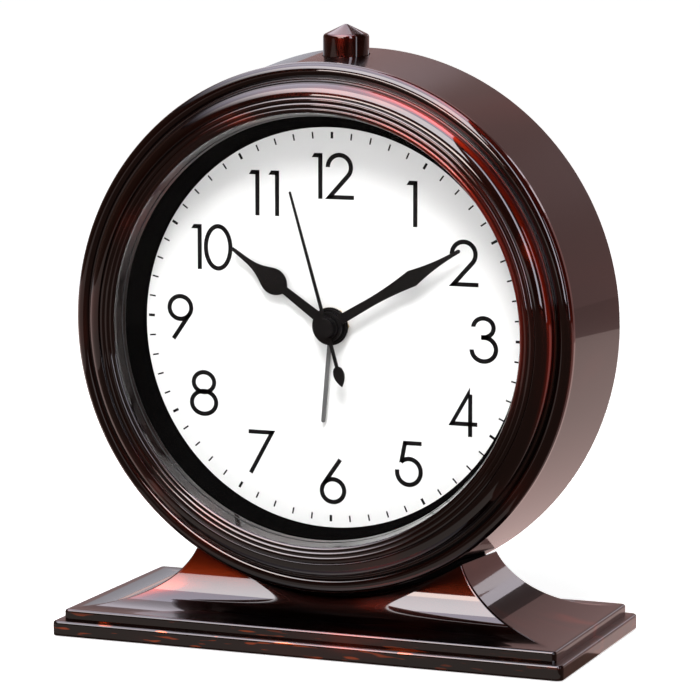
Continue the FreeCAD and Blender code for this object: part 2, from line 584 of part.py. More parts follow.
def makeTrain():
    gap = size("runningGap")
    second, pivot = size("secondArbor"), size("pivotRadius")
    minute, hour, alarm = size("minutePipe"), size("hourPipe"), size("alarmPipe")
    lid = size("lidInner")

    headShape("second_wheel", gear(SECOND_WHEEL, SECOND_MODULE, CENTRE, (0.8, 1.5), FIFTH_TURN),
              gear(SECOND_PINION, TRAIN, CENTRE, (-0.9, 0.2), THIRD_TURN),
              rod(second, (-15.6, lid - 0.1)), rod(pivot, (lid - 0.5, lid + 0.6)))
    fifthPhase = matePhase(SECOND_WHEEL, FIFTH_TURN, FIFTH_TURN, FIFTH_PINION)
    headShape("fifth_wheel", gear(FIFTH_PINION, SECOND_MODULE, FIFTH, (0.6, 1.7), fifthPhase),
              gear(FIFTH_WHEEL, FINE, FIFTH, (2.3, 3.0), ROTOR_TURN), *arbor(FIFTH))
    rotorPhase = matePhase(FIFTH_WHEEL, ROTOR_TURN, ROTOR_TURN, ROTOR_PINION)
    headShape("rotor", gear(ROTOR_PINION, FINE, ROTOR, (2.1, 3.2), rotorPhase),
              rod(2.5, (-1.6, 1.4), ROTOR), *arbor(ROTOR))
    thirdPhase = matePhase(SECOND_PINION, THIRD_TURN, THIRD_TURN, THIRD_WHEEL)
    headShape("third_wheel", gear(THIRD_WHEEL, TRAIN, THIRD, (-0.7, 0.0), thirdPhase),
              gear(THIRD_PINION, CENTRE_MODULE, THIRD, (-2.5, -1.1), THIRD_TURN + 180),
              *arbor(THIRD))
    centrePhase = matePhase(THIRD_PINION, THIRD_TURN + 180, THIRD_TURN + 180, CENTRE_WHEEL)
    headShape("centre_wheel",
              gear(CENTRE_WHEEL, CENTRE_MODULE, CENTRE, (-2.3, -1.5), centrePhase, second + gap),
              gear(CANNON_PINION, TRAIN, CENTRE, (-4.8, -4.0), MINUTE_TURN, second + gap),
              pipe(second + gap, minute, (-14.4, -1.2)))
    minutePhase = matePhase(CANNON_PINION, MINUTE_TURN, MINUTE_TURN, MINUTE_WHEEL)
    postBore = 0.65
    headShape("minute_wheel",
              gear(MINUTE_WHEEL, TRAIN, MINUTE, (-4.8, -4.0), minutePhase, postBore),
              gear(MINUTE_PINION, HOUR_MODULE, MINUTE, (-6.3, -4.7), MINUTE_TURN + 180, postBore))
    hourPhase = matePhase(MINUTE_PINION, MINUTE_TURN + 180, MINUTE_TURN + 180, HOUR_WHEEL)
    headShape("hour_wheel",
              gear(HOUR_WHEEL, HOUR_MODULE, CENTRE, (-6.2, -5.4), hourPhase, minute + gap),
              pipe(minute + gap, hour, (-13.0, -5.4)))
    headShape("alarm_wheel",
              gear(ALARM_WHEEL, SETTING, CENTRE, (-7.5, -6.7), ALARM_TURN, hour + gap),
              pipe(hour + gap, alarm, (-11.75, -6.7)))
    timePhase = matePhase(MINUTE_WHEEL, minutePhase, TIME_TURN, CANNON_PINION)
    alarmPhase = matePhase(ALARM_WHEEL, ALARM_TURN, ALARM_TURN, ALARM_PINION)
    shaft, knobFront, knobBack = size("setShaftRadius"), size("knobFront"), size("knobBack")
    shaftEnds = (size("caseFront + caseWall") + 0.2, knobBack - 1.3)
    headShape("time_set_shaft", gear(CANNON_PINION, TRAIN, TIME_SET, (-4.9, -3.9), timePhase),
              rod(shaft, shaftEnds, TIME_SET))
    headShape("alarm_set_shaft", gear(ALARM_PINION, SETTING, ALARM_SET, (-7.6, -6.4), alarmPhase),
              rod(shaft, shaftEnds, ALARM_SET))
    for name, middle, radius in (("time_set_knob", TIME_SET, 5.6),
                                 ("alarm_set_knob", ALARM_SET, 4.6)):
        flutes = [rod(0.55, (knobFront - 0.1, knobBack + 0.1), polar(radius + 0.25, turn, middle))
                  for turn in range(0, 360, 20)]
        socket = rod(shaft, (knobFront - 0.1, shaftEnds[1]), middle)
        headShape(name, rod(radius, (knobFront, knobBack), middle).cut(flutes + [socket]))


# ---------- hands ----------

# Clockwise from 12.
HOUR_ANGLE, MINUTE_ANGLE, SECOND_ANGLE, ALARM_ANGLE = 305.0, 59.5, 343.8, 185.0


def handPlate(flank, depths, clockAngle):
    """A flat hand. The flank is a list of runs, each a list of (distance from the axis, half
    width): two stations join by a line, and more by a smooth curve. The last reaches 0."""
    turn = math.radians(90 - clockAngle)
    edges = []
    for side in SIDES:
        for run in flank:
            points = [FreeCAD.Vector(along * math.cos(turn) - side * across * math.sin(turn),
                                     depths[0],
                                     along * math.sin(turn) + side * across * math.cos(turn))
                      for along, across in run]
            if len(points) == 2:
                edges.append(Part.makeLine(*points))
                continue
            curve = Part.BSplineCurve()
            curve.interpolate(points)
            edges.append(curve.toShape())
    starts = [edges[index].Vertexes[0].Point for index in (0, len(flank))]
    edges.append(Part.makeLine(*starts))
    outline = Part.Wire(Part.__sortEdges__(edges))
    return Part.Face(outline).extrude(FreeCAD.Vector(0, depths[1] - depths[0], 0))


def makeHands():
    hourHand = handPlate([
        [(4.5, 1.45), (16.6, 1.15)],
        [(16.6, 1.15), (17.7, 2.5), (19.6, 3.5), (21.6, 3.6), (24.2, 2.55), (27.6, 1.2),
         (31.5, 0.68), (36.0, 0.45)],
        [(36.0, 0.45), (36.35, 0.3), (36.5, 0.0)]], (-12.6, -12.2), HOUR_ANGLE)
    hourBore = rod(size("hourPipe"), (-20, 0))
    headShape("hour_hand", hourHand.fuse([rod(5.35, (-12.4, -12.0)), rod(4.85, (-12.75, -12.0))])
              .cut(hourBore))

    minuteHand = handPlate([
        [(3.4, 1.4), (14.0, 1.25)],
        [(14.0, 1.25), (20.0, 1.42), (25.0, 1.85), (29.0, 2.36)],
        [(29.0, 2.36), (33.5, 1.45), (38.5, 0.8), (44.6, 0.55)],
        [(44.6, 0.55), (45.0, 0.35), (45.15, 0.0)]], (-14.1, -13.7), MINUTE_ANGLE)
    minuteBore = rod(size("minutePipe"), (-20, 0))
    headShape("minute_hand", minuteHand.fuse(rod(4.2, (-14.4, -13.3))).cut(minuteBore))

    needle = handPlate([
        [(2.0, 0.5), (38.8, 0.33)],
        [(38.8, 0.33), (39.1, 0.2), (39.2, 0.0)]], (-15.3, -14.95), SECOND_ANGLE)
    tail = handPlate([
        [(2.0, 0.52), (11.4, 0.5)],
        [(11.4, 0.5), (11.7, 1.0), (12.6, 1.5), (13.9, 1.62), (15.6, 1.1), (17.2, 0.0)]],
        (-15.3, -14.95), SECOND_ANGLE + 180)
    secondBore = rod(size("secondArbor"), (-15.6, 0))
    headShape("second_hand", needle.fuse([tail, rod(3.3, (-15.4, -14.85)),
                                          rod(2.65, (-17.0, -14.85))]).cut(secondBore))

    alarmHand = handPlate([
        [(3.4, 0.58), (27.0, 0.58)],
        [(27.0, 0.58), (27.35, 0.4), (27.5, 0.0)]], (-11.75, -11.4), ALARM_ANGLE)
    alarmBore = rod(size("alarmPipe"), (-20, 0))
    headShape("alarm_hand", alarmHand.fuse(rod(4.3, (-11.75, -11.4))).cut(alarmBore))


# ---------- movement case and electrics ----------

PILLARS = [(x, z) for x in (-24, 24) for z in (-12, 21.5)]
INSIDE = ["-caseHalf + caseWall", "caseHalf - caseWall"]
GEAR_ROOM = ["caseShelf", "(caseTop - caseWall)"]
CELL_ROOM = ["(caseFoot + caseWall)", "(caseShelf - caseWall)"]


def holes(name, radius, length, start, places):
    return [cylinder(f"{name}_{i}", radius, length, headPlace(x, start, z))
            for i, (x, z) in enumerate(places)]


def makeMovementCase():
    room = ["caseFront + caseWall", "caseSplit + 1"]
    block = headBox("front_block", ["-caseHalf", "caseHalf"], ["caseFront", "caseSplit"],
                    ["caseFoot", "caseTop"])
    shell = cut("front_shell", block, headBox("front_gear_room", INSIDE, room, GEAR_ROOM),
                headBox("front_cell_room", INSIDE, room, CELL_ROOM))
    bushing = cylinder("bushing", "bushingRadius", "2", headPlace("0", "caseFront - 1.95", "0"))
    pillars = holes("front_pillar", "1.8", "plateFront - caseFront - caseWall + 0.1",
                    "caseFront + caseWall - 0.1", PILLARS)
    bore = cylinder("bushing_bore", "alarmPipe + runningGap", "6",
                    headPlace("0", "caseFront - 3", "0"))
    threads = holes("front_thread", "0.9", "3.4", "plateFront - 2.4", PILLARS)
    node(cut("movement_front_case", fuse("front_case_blank", shell, bushing, *pillars), bore,
             *threads))

    lid = headBox("rear_block", ["-caseHalf", "caseHalf"], ["caseSplit", "caseRear"],
                  ["caseFoot", "caseTop"])
    collar = headBox("cell_collar", ["-caseHalf", "caseHalf"], ["caseSplit", "coverSeat"],
                     ["caseFoot", "caseShelf"])
    gearRoom = headBox("rear_gear_room", INSIDE, ["caseSplit - 1", "lidInner"], GEAR_ROOM)
    cellRoom = headBox("rear_cell_room", INSIDE, ["caseSplit - 1", "coverSeat + 1"], CELL_ROOM)
    hollow = cut("rear_shell", fuse("rear_blank", lid, collar), gearRoom, cellRoom)
    posts = holes("lid_post", "1.8", "lidInner + 0.1 - (plateFront + 0.8)", "plateFront + 0.8",
                  PILLARS)
    shafts = holes("lid_shaft_bore", "setShaftRadius + runningGap", "5", "3", SET_SHAFTS)
    pivots = holes("lid_pivot", "pivotRadius + runningGap", "0.9", "lidInner - 0.1",
                   (CENTRE,) + TRAIN_ARBORS)
    screwBores = holes("lid_screw_bore", "1.0", "12", "plateFront", PILLARS)
    node(cut("movement_rear_case", fuse("lid_with_posts", hollow, *posts), *shafts, *pivots,
             *screwBores))
    screwHead = 0.9
    node(group("movement_screws", [
        screw(f"movement_screw_{i}", 1.8, screwHead, 0.9, 11.6,
              headPlace(x, f"caseRear + {screwHead}", z), "-Y")
        for i, (x, z) in enumerate(PILLARS)]))

    plate = headBox("train_sheet", ["-26", "26"], ["plateFront", "plateFront + 0.8"],
                    ["-14.5", "24.3"])
    post = cylinder("minute_post", "0.59", "3.2",
                    headPlace(MINUTE[0], "plateFront - 3.1", MINUTE[1]))
    centreHole = cylinder("centre_hole", "minutePipe + 0.2", "4", headPlace("0", "-5", "0"))
    node(cut("middle_plate", fuse("plate_blank", plate, post), centreHole,
             *holes("plate_shaft_bore", "setShaftRadius + runningGap", "4", "-5", SET_SHAFTS),
             *holes("plate_pivot", "pivotRadius + runningGap", "4", "-5", TRAIN_ARBORS),
             *holes("plate_screw_bore", "1.0", "4", "-5", PILLARS)))


def makeMotor():
    """The stepping motor: a stator frame round the rotor, and a coil on its upper bar."""
    thickness = ["-0.6", "0.4"]
    frame = [
        headBox("pole_bar", ["-22", "-5.4"], thickness, ["5.4", "11.6"]),
        headBox("left_leg", ["-22", "-19.4"], thickness, ["11", "18.8"]),
        headBox("right_leg", ["-7.9", "-5.4"], thickness, ["11", "18.8"]),
        headBox("core_bar", ["-20", "-7"], thickness, ["17.2", "18.8"]),
    ]
    rotorHole = cylinder("rotor_hole", "2.9", "4", headPlace(ROTOR[0], "-2", ROTOR[1]))
    node(cut("stator", fuse("stator_blank", *frame), rotorHole))
    coilPlace = ["-0.1", "18"]
    spool = [cylinder("spool_tube", "1.35", "11", headPlace("-19.2", *coilPlace), "X"),
             cylinder("spool_left", "2.5", "0.6", headPlace("-19.2", *coilPlace), "X"),
             cylinder("spool_right", "2.5", "0.6", headPlace("-8.8", *coilPlace), "X")]
    channel = headBox("spool_channel", ["-20", "-7"], ["-0.65", "0.45"], ["17.15", "18.85"])
    node(cut("coil_bobbin", fuse("spool", *spool), channel))
    wire = cylinder("wire_block", "2.4", "9.8", headPlace("-18.6", *coilPlace), "X")
    core = cylinder("wire_core", "1.35", "12", headPlace("-19.5", *coilPlace), "X")
    node(cut("coil_winding", wire, core))


def makeElectrics():
    board = headBox("board_sheet", ["10.5", "27"], ["lidInner - 1", "lidInner"], ["-14", "24.5"])
    cutouts = holes("board_cutout", "2.1", "4", "lidInner - 2", PILLARS[2:])
    node(cut("circuit_board", board, *cutouts))
    node(cylinder("timing_chip", "2.6", "0.8", headPlace("17", "lidInner - 1.8", "2")))
    node(cylinder("quartz_crystal", "1.5", "6.5", headPlace("13", "lidInner - 2.5", "14"), "X"))
    strip = headBox("leaf_strip", ["6.2", "24"], ["-6.6", "-6.4"], ["-1", "1"])
    foot = headBox("leaf_foot", ["22.5", "24"], ["caseFront + caseWall", "-6.4"], ["-1", "1"])
    node(fuse("alarm_contact_spring", strip, foot))
    can = cylinder("cell_can", "cellRadius", "cellLength - 1.5",
                   headPlace("cellStart", "cellDepth", "cellHeight"), "X")
    nub = cylinder("cell_nub", "2.7", "1.6",
                   headPlace("cellStart + cellLength - 1.6", "cellDepth", "cellHeight"), "X")
    node(fuse("battery_cell", can, nub))
    plate = headBox("contact_sheet", ["caseHalf - caseWall - 0.5", "caseHalf - caseWall - 0.05"],
                    ["-6", "4.8"], ["cellHeight - 5.5", "cellHeight + 5.5"])
    bump = cylinder("contact_bump", "1.8", "1.5",
                    headPlace("cellStart + cellLength", "cellDepth", "cellHeight"), "X")
    node(fuse("positive_contact", plate, bump))
    node(place(made("negative_spring", coilSpring(2.6, 0.22, 0.9, 3)),
               headPlace("-caseHalf + caseWall + 0.25", "cellDepth", "cellHeight"), "X"))


# ---------- top button ----------

def coilSpring(radius, wire, pitch, turns):
    """A coil of half turns, each half a torus tilted to climb half a pitch."""
    reach = math.hypot(radius, pitch / 4)
    climb = FreeCAD.Rotation(FreeCAD.Vector(0, 1, 0), math.degrees(math.asin(pitch / 4 / reach)))
    halves = []
    for number in range(round(2 * turns)):
        half = Part.makeTorus(reach, wire, FreeCAD.Vector(), FreeCAD.Vector(0, 0, 1), 0, 360, 180)
        side = FreeCAD.Rotation(FreeCAD.Vector(0, 0, 1), 180 * (number % 2))
        half.Placement = FreeCAD.Placement(FreeCAD.Vector(0, 0, pitch / 4 + number * pitch / 2),
                                           side.multiply(climb))
        halves.append(half)
    return halves[0].fuse(halves[1:])


def makeTopButton(drum):
    cavityTop = "(buttonFoot + 2.5)"
    skirtInner = "4.9"
    tipRadius = "1.325"
    node(turned("top_button", [
        ("stemRadius", "buttonFoot + 7"),
        ("stemRadius", cavityTop),
        (skirtInner, cavityTop),
        (skirtInner, "buttonFoot"),
        ("buttonRadius", "buttonFoot"),
        ("buttonRadius", "buttonShoulder - 0.9", "1.1"),
        ("buttonRadius - 0.55", "buttonShoulder"),
        ("0.7", "buttonApex - 0.2", tipRadius),
        ("0", "buttonApex"),
        ("0", "buttonFoot + 7"),
    ], lift="0", upright=True))
    node(fuse("button_stem",
              cylinder("stem_rod", "stemRadius", "buttonFoot + 7 - (cupFoot - 2.7)",
                       ("0", "0", "cupFoot - 2.7"), "Z"),
              cylinder("stem_stop", "2.9", "0.8", ("0", "0", "cupFoot - 0.9"), "Z")))
    outer = "8.4"
    tube = cylinder("guide_tube", outer, "buttonFoot + 2.7 - cupFoot", ("0", "0", "cupFoot"), "Z")
    legTop = "cupFoot + 1"
    boardTop = "(switchFloor + 1.2)"
    legs = [box(f"guide_leg_{side + 1}", [f"{side} * 7.2 - 1", f"{side} * 7.2 + 1"],
                ["-3", "3"], [boardTop, legTop]) for side in SIDES]
    bore = cylinder("guide_bore", "buttonRadius + buttonSlack", "20", ("0", "0", "cupFoot + 1.2"),
                    "Z")
    stemBore = cylinder("stem_bore", "stemRadius + 0.08", "4", ("0", "0", "cupFoot - 1"), "Z")
    node(cut("button_guide", fuse("guide_blank", tube, *legs), bore, stemBore, drum))
    springFoot = "cupFoot + 1.5"
    wire, turns = 0.25, 4.5
    springRise = size(f"{cavityTop} - ({springFoot})") - wire - 0.05
    node(place(made("button_spring", coilSpring(3.4, wire, springRise / turns, turns)),
               ("0", "0", springFoot)))
    node(box("switch_board", [f"-{outer}", outer], ["-5", "5"], ["switchFloor", boardTop]))
    body = box("switch_body", ["-3", "3"], ["-3", "3"], [boardTop, f"{boardTop} + 2.6"])
    plunger = cylinder("switch_plunger", "1.5", "0.9", ("0", "0", f"{boardTop} + 2.6"), "Z")
    node(fuse("button_switch", body, plunger))


makePedestal()
makeBasePlate()
drumCase = makeDrum()
makeSaddlePad()
makeDial(makeBezel())
makeBackCover()
makeTrain()
makeHands()
makeMovementCase()
makeMotor()
makeElectrics()
makeTopButton(drumCase)
doc.recompute()

faults = [f"{piece.Label}: {piece.State}" for piece in doc.Objects
          if "Invalid" in piece.State or "Error" in piece.State]
for piece in nodes:
    shape = piece.Shape
    if shape.isNull() or not shape.isValid() or not shape.Solids:
        faults.append(f"{piece.Label}: no valid solid")
        continue
    shape.exportStep(f"parts/{piece.Label}.step")
for fault in faults:
    print("FAULT", fault)
print(len(nodes), "nodes,", len(faults), "faults")
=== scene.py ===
import math

import bmesh
import bpy
import numpy as np
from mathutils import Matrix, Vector


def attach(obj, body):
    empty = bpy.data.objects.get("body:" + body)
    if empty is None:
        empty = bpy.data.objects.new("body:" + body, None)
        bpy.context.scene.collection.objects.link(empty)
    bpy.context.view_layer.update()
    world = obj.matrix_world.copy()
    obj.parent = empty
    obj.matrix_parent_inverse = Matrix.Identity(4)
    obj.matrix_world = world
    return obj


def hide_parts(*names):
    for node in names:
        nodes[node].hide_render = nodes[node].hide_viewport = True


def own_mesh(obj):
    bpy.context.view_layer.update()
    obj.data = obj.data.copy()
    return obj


# Round desk alarm clock on a coved pedestal. X is to the right, the dial faces -Y and Z is up.
# Sizes of the camera's setup and the pieces are in mm, those of the studio and the finishes
# in metres.

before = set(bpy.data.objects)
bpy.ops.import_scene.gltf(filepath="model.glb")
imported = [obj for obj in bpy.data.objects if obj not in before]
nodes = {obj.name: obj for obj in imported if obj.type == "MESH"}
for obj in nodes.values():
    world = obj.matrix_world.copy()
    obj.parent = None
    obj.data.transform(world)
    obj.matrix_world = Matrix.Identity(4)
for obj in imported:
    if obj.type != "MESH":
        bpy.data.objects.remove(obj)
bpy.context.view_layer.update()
mm = 0.001
axisHeight = 89.9
print("frame loaded:", len(nodes), "nodes")


# Camera and studio

cameraSetup = {"target": (0.0, 2.92, 81.3), "turn": 21.56, "rise": 7.83, "distance": 920.3,
               "lens": 166.76, "sensor": 36.0, "clip": (0.02, 60.0)}  # the clip is in metres


def makeCamera(setup):
    # stands at a distance from its target, turned to the right and raised, and looks at it
    turn, rise = math.radians(setup["turn"]), math.radians(setup["rise"])
    away = Vector((math.sin(turn) * math.cos(rise), -math.cos(turn) * math.cos(rise),
                   math.sin(rise)))
    camera = bpy.data.objects.new("camera", bpy.data.cameras.new("camera"))
    camera.data.lens, camera.data.sensor_width = setup["lens"], setup["sensor"]
    camera.data.clip_start, camera.data.clip_end = setup["clip"]
    camera.location = (Vector(setup["target"]) + away * setup["distance"]) * mm
    camera.rotation_euler = (-away).to_track_quat("-Z", "Y").to_euler()
    bpy.context.scene.collection.objects.link(camera)
    bpy.context.scene.camera = camera


makeCamera(cameraSetup)


def linear(code):
    # an sRGB hex colour as linear light: a straight foot, then the power 2.4
    value = np.array([int(code[place:place + 2], 16) for place in (1, 3, 5)]) / 255
    value = np.where(value <= 0.04045, value / 12.92, ((value + 0.055) / 1.055) ** 2.4)
    return (*value.tolist(), 1.0)


def addNode(tree, kind, links=(), **settings):
    # a node with its settings: sockets by name or number in inputs, then the links into it
    node = tree.nodes.new(kind)
    values = settings.pop("inputs", {})
    for name, value in settings.items():
        setattr(node, name, value)
    for socket, value in values.items():
        node.inputs[socket].default_value = value
    for source, socket in links:
        tree.links.new(source, node.inputs[socket])
    return node


def rampStops(ramp, stops):
    # colour stops as (place, hex colour)
    elements = ramp.color_ramp.elements
    while len(elements) < len(stops):
        elements.new(0.5)
    for element, (place, code) in zip(elements, stops):
        element.position, element.color = place, linear(code)
    return ramp


def newFinish(name):
    finish = bpy.data.materials.new(name)
    finish.use_nodes = True
    finish.node_tree.nodes.clear()
    return finish, finish.node_tree


def closeFinish(tree, shader):
    addNode(tree, "ShaderNodeOutputMaterial", [(shader.outputs[0], "Surface")])


studio = {
    "floorColour": "#e6e6e6", "floorGlow": 0.74, "floorReach": 14.0,
    "worldSky": "#ffffff", "ambient": 0.34,
    # name: (place, aim, width, height, watts)
    "lamps": {
        "key": ((0.14, -0.66, 0.92), (0, 0, 0.09), 0.42, 0.34, 14),
        "fill": ((0.1, -1.7, 0.35), (0, 0, 0.09), 1.2, 0.6, 9),
    },
    # cards that only reflections see: (place, aim, width, height, colour, glow, fade), where
    # fade is how much of the card's left part dies away
    "cards": {
        "overheadRear": ((-0.85, 1, 1.2), (-0.85, 1, 0), 1.5, 1.6, "#f0e8f4", 2.6, 0.5),
        "overheadMiddle": ((-0.6, -0.2, 1.2), (-0.6, -0.2, 0), 2.2, 0.8, "#f0ecff", 5.5, 0.6),
        "overheadFront": ((-0.6, -1.25, 1.2), (-0.6, -1.25, 0), 2.2, 1.3, "#f4f0f4", 11.5, 0.6),
        "frontCard": ((-0.03, -0.27, 0.192), (-0.03, 0, 0.192), 0.14, 0.038, "#fff0ea", 14, 0),
        "frontLow": ((-0.12, -1.3, 0.05), (-0.12, 0, 0.05), 0.46, 0.1, "#f0e4e4", 1.2, 0),
        "rightPanel": ((0.92, -0.92, 0.92), (0, 0, 0.92), 0.26, 1.56, "#f0f0ff", 7, 0),
        "rightSlot": ((1.25, -0.36, 0.45), (0, 0, 0.45), 0.14, 0.75, "#eef0ff", 3, 0),
        "backWallLeft": ((-1.5, 3.2, 1.4), (-1.5, 0, 1.4), 3.4, 2.8, "#f4c4c0", 0.38, 0),
        "backWallRight": ((1.7, 3.2, 1.4), (1.7, 0, 1.4), 3, 2.8, "#f4c0bc", 0.38, 0),
        "backBandRight": ((0.38, 1.4, 0.448), (0.38, 0, 0.448), 0.12, 0.155, "#f0e8ee", 2, 0),
        "backBandLeft": ((0.26, 1.4, 0.525), (0.26, 0, 0.525), 0.12, 0.17, "#f0e8f2", 2, 0),
        "backDark": ((0.11, 1.4, 0.565), (0.11, 0, 0.565), 0.18, 0.19, "#f0e0e0", 0.04, 0),
        "backLeft": ((-2.05, 3.1, 0.3), (-2.05, 0, 0.3), 2.3, 0.6, "#f4f4ff", 0.5, 0),
        "frontWall": ((0, -3.2, 1.4), (0, 0, 1.4), 6.4, 2.8, "#e89078", 0.1, 0),
        "leftWall": ((-3.2, 0, 1.4), (0, 0, 1.4), 6.4, 2.8, "#f0a890", 0.12, 0),
        "rightWall": ((3.2, 0, 1.4), (0, 0, 1.4), 6.4, 2.8, "#e89078", 0.1, 0),
        "ceiling": ((0, 0, 2.8), (0, 0, 0), 6.4, 6.4, "#e8a090", 0.12, 0),
        "clothFront": ((-1.78, -1.6, 0.0003), (-1.78, -1.6, 1), 2.86, 3.2, "#f6d8d0", 0.6, 0),
        "clothRight": ((1.43, -1.6, 0.0003), (1.43, -1.6, 1), 3.56, 3.2, "#f0b8a8", 0.16, 0),
        "clothNear": ((-0.02, -0.062, 0.0009), (-0.02, -0.062, 1), 0.2, 0.052, "#f6e4dc", 0.5, 0),
        "clothRear": ((0, 0.31, 0.0003), (0, 0.31, 1), 6.4, 0.62, "#ffdcd6", 0.72, 0),
        "clothFar": ((0, 1.91, 0.0003), (0, 1.91, 1), 6.4, 2.58, "#f4c0bc", 0.3, 0),
        "clothFarLeft": ((-1.9, 1.91, 0.0006), (-1.9, 1.91, 1), 2.6, 2.58, "#f4f4ff", 0.5, 0),
    },
}


def makeStage(name, points, finish, reflectedOnly=True):
    # a flat sheet through four corners, which only reflections see unless it says otherwise
    mesh = bpy.data.meshes.new(name)
    mesh.from_pydata(points, [], [(0, 1, 2, 3)])
    mesh.materials.append(finish)
    sheet = bpy.data.objects.new(name, mesh)
    if reflectedOnly:
        sheet.visible_camera = sheet.visible_diffuse = sheet.visible_shadow = False
        sheet.visible_transmission = False
    bpy.context.scene.collection.objects.link(sheet)


def seenBy(tree, *rays):
    # 1 for the kinds of ray that are named and 0 for the others
    path = addNode(tree, "ShaderNodeLightPath")
    seen = path.outputs[rays[0]]
    for ray in rays[1:]:
        seen = addNode(tree, "ShaderNodeMath", [(seen, 0), (path.outputs[ray], 1)],
                       operation="MAXIMUM").outputs[0]
    return seen


def makeStudio(setup):
    scene = bpy.context.scene
    scene.view_settings.view_transform = "Standard"
    world = bpy.data.worlds.new("studio")
    scene.world = world
    world.use_nodes = True
    tree = world.node_tree
    tree.nodes.clear()
    seen = seenBy(tree, "Is Camera Ray", "Is Glossy Ray", "Is Transmission Ray")
    ambient = addNode(tree, "ShaderNodeBackground", inputs={
        "Color": linear(setup["worldSky"]), "Strength": setup["ambient"]})
    backdrop = addNode(tree, "ShaderNodeBackground", inputs={
        "Color": linear(setup["worldSky"]), "Strength": 1.0})
    mixed = addNode(tree, "ShaderNodeMixShader", [(seen, 0), (ambient.outputs[0], 1),
                                                  (backdrop.outputs[0], 2)])
    addNode(tree, "ShaderNodeOutputWorld", [(mixed.outputs[0], "Surface")])

    for name, (place, aim, width, height, watts) in setup["lamps"].items():
        lamp = bpy.data.lights.new(name, "AREA")
        lamp.shape, lamp.size, lamp.size_y, lamp.energy = "RECTANGLE", width, height, watts
        softbox = bpy.data.objects.new(name, lamp)
        softbox.location = place
        softbox.rotation_euler = (Vector(aim) - Vector(place)).to_track_quat("-Z", "Y").to_euler()
        softbox.visible_glossy = False
        scene.collection.objects.link(softbox)

    # pale card floor: it glows a little for the rays that see it, and keeps the shadow
    finish, tree = newFinish("pale_card_floor")
    card = addNode(tree, "ShaderNodeBsdfDiffuse", inputs={"Color": linear(setup["floorColour"])})
    power = addNode(tree, "ShaderNodeMath", [(seenBy(tree, "Is Camera Ray", "Is Glossy Ray"), 0)],
                    operation="MULTIPLY", inputs={1: setup["floorGlow"]})
    glow = addNode(tree, "ShaderNodeEmission", [(power.outputs[0], "Strength")])
    both = addNode(tree, "ShaderNodeAddShader", [(card.outputs[0], 0), (glow.outputs[0], 1)])
    closeFinish(tree, both)
    reach = setup["floorReach"]
    makeStage("floor", [(-reach, -reach, 0), (reach, -reach, 0), (reach, reach, 0),
                        (-reach, reach, 0)], finish, reflectedOnly=False)

    # the studio round the clock: light cards and dim walls that shape the reflections
    for name, (place, aim, width, height, code, power, fade) in setup["cards"].items():
        finish, tree = newFinish("backlit_paper_" + name)
        light = addNode(tree, "ShaderNodeEmission", inputs={"Color": linear(code),
                                                            "Strength": power})
        if fade:
            where = addNode(tree, "ShaderNodeTexCoord")
            apart = addNode(tree, "ShaderNodeSeparateXYZ", [(where.outputs["Object"], 0)])
            edge = place[0] - width / 2
            dim = addNode(tree, "ShaderNodeMapRange", [(apart.outputs["X"], "Value")],
                          interpolation_type="SMOOTHSTEP", inputs={
                              "From Min": edge, "From Max": edge + fade * width,
                              "To Min": 0.0, "To Max": power})
            tree.links.new(dim.outputs[0], light.inputs["Strength"])
        closeFinish(tree, light)
        turn = (Vector(aim) - Vector(place)).to_track_quat("-Z", "Y")
        across, up = turn @ Vector((width / 2, 0, 0)), turn @ Vector((0, height / 2, 0))
        corners = [Vector(place) + right * across + high * up
                   for right, high in ((-1, -1), (1, -1), (1, 1), (-1, 1))]
        makeStage(name, corners, finish)


makeStudio(studio)
print("studio ready")


# Finishes

lacquer = {
    # body colours of the cloudy lacquer by the strength of the clouds
    "case": [(0.40, "#0f0504"), (0.55, "#1a0806"), (0.66, "#380e07"), (0.80, "#782409")],
    "button": [(0.30, "#120302"), (0.55, "#220503"), (0.75, "#400a04")],
    # the clouds are about 11 mm across, and drawn out along the stand and round the ring, where
    # one turn takes as much of the pattern as a circle of the radius given by "round"
    "cloud": 0.011, "along": (0.3, 1.0, 1.0), "round": 0.02625,
    # orange peel in waves of 6 mm
    "wave": 0.006, "waveDepth": 0.0006, "waveStrength": 0.006,
    # painted glow on the bezel: red-orange painted on the lip, the beads, the step and the outer
    # edge, as light showing through the lacquer: how strong at each share of the way between two
    # radii, most of all towards two o'clock, where the light falls
    "thinColour": "#a8260a", "thinReach": (0.0589, 0.074),
    "thin": [(0.03, "#000000"), (0.07, "#ffffff"), (0.15, "#b0b0b0"), (0.26, "#505050"),
             (0.42, "#000000"), (0.58, "#000000"), (0.63, "#ffffff"), (0.70, "#000000"),
             (0.95, "#000000"), (0.98, "#909090")],
    "thinWay": (0.87, 0.0, 0.5), "thinSpread": (0.55, 0.98), "bezelBack": -0.0193,
    # the bevel inside the lip is left satin, except along its lower part
    "bevelReach": (0.0600, 0.0602), "bevelGloss": 0.15, "bevelGlossy": (0.45, 0.85),
    # orange specks 1.1 mm high and 9 mm long on the steps, below the coves, fewer to the right
    "speckColour": "#b04a1a", "speck": 0.0011, "speckAlong": (0.12, 0.12, 1.0),
    "speckStrength": (0.62, 0.68), "speckHeight": (0.0072, 0.0060),
    "speckSide": (0.050, 0.010), "speckLeast": 0.15,
    # painted glow: the body turns orange-brown up the horns, less so on the right, as light
    # showing through the lacquer there
    "hornGlowColour": "#6e2208", "hornHeight": (0.0150, 0.0205), "hornSide": (0.030, -0.030),
    "hornLeast": 0.3,
}


def fadeEnds(key):
    # the two ends of a fade, as Map Range takes them
    return {"From Min": lacquer[key][0], "From Max": lacquer[key][1]}


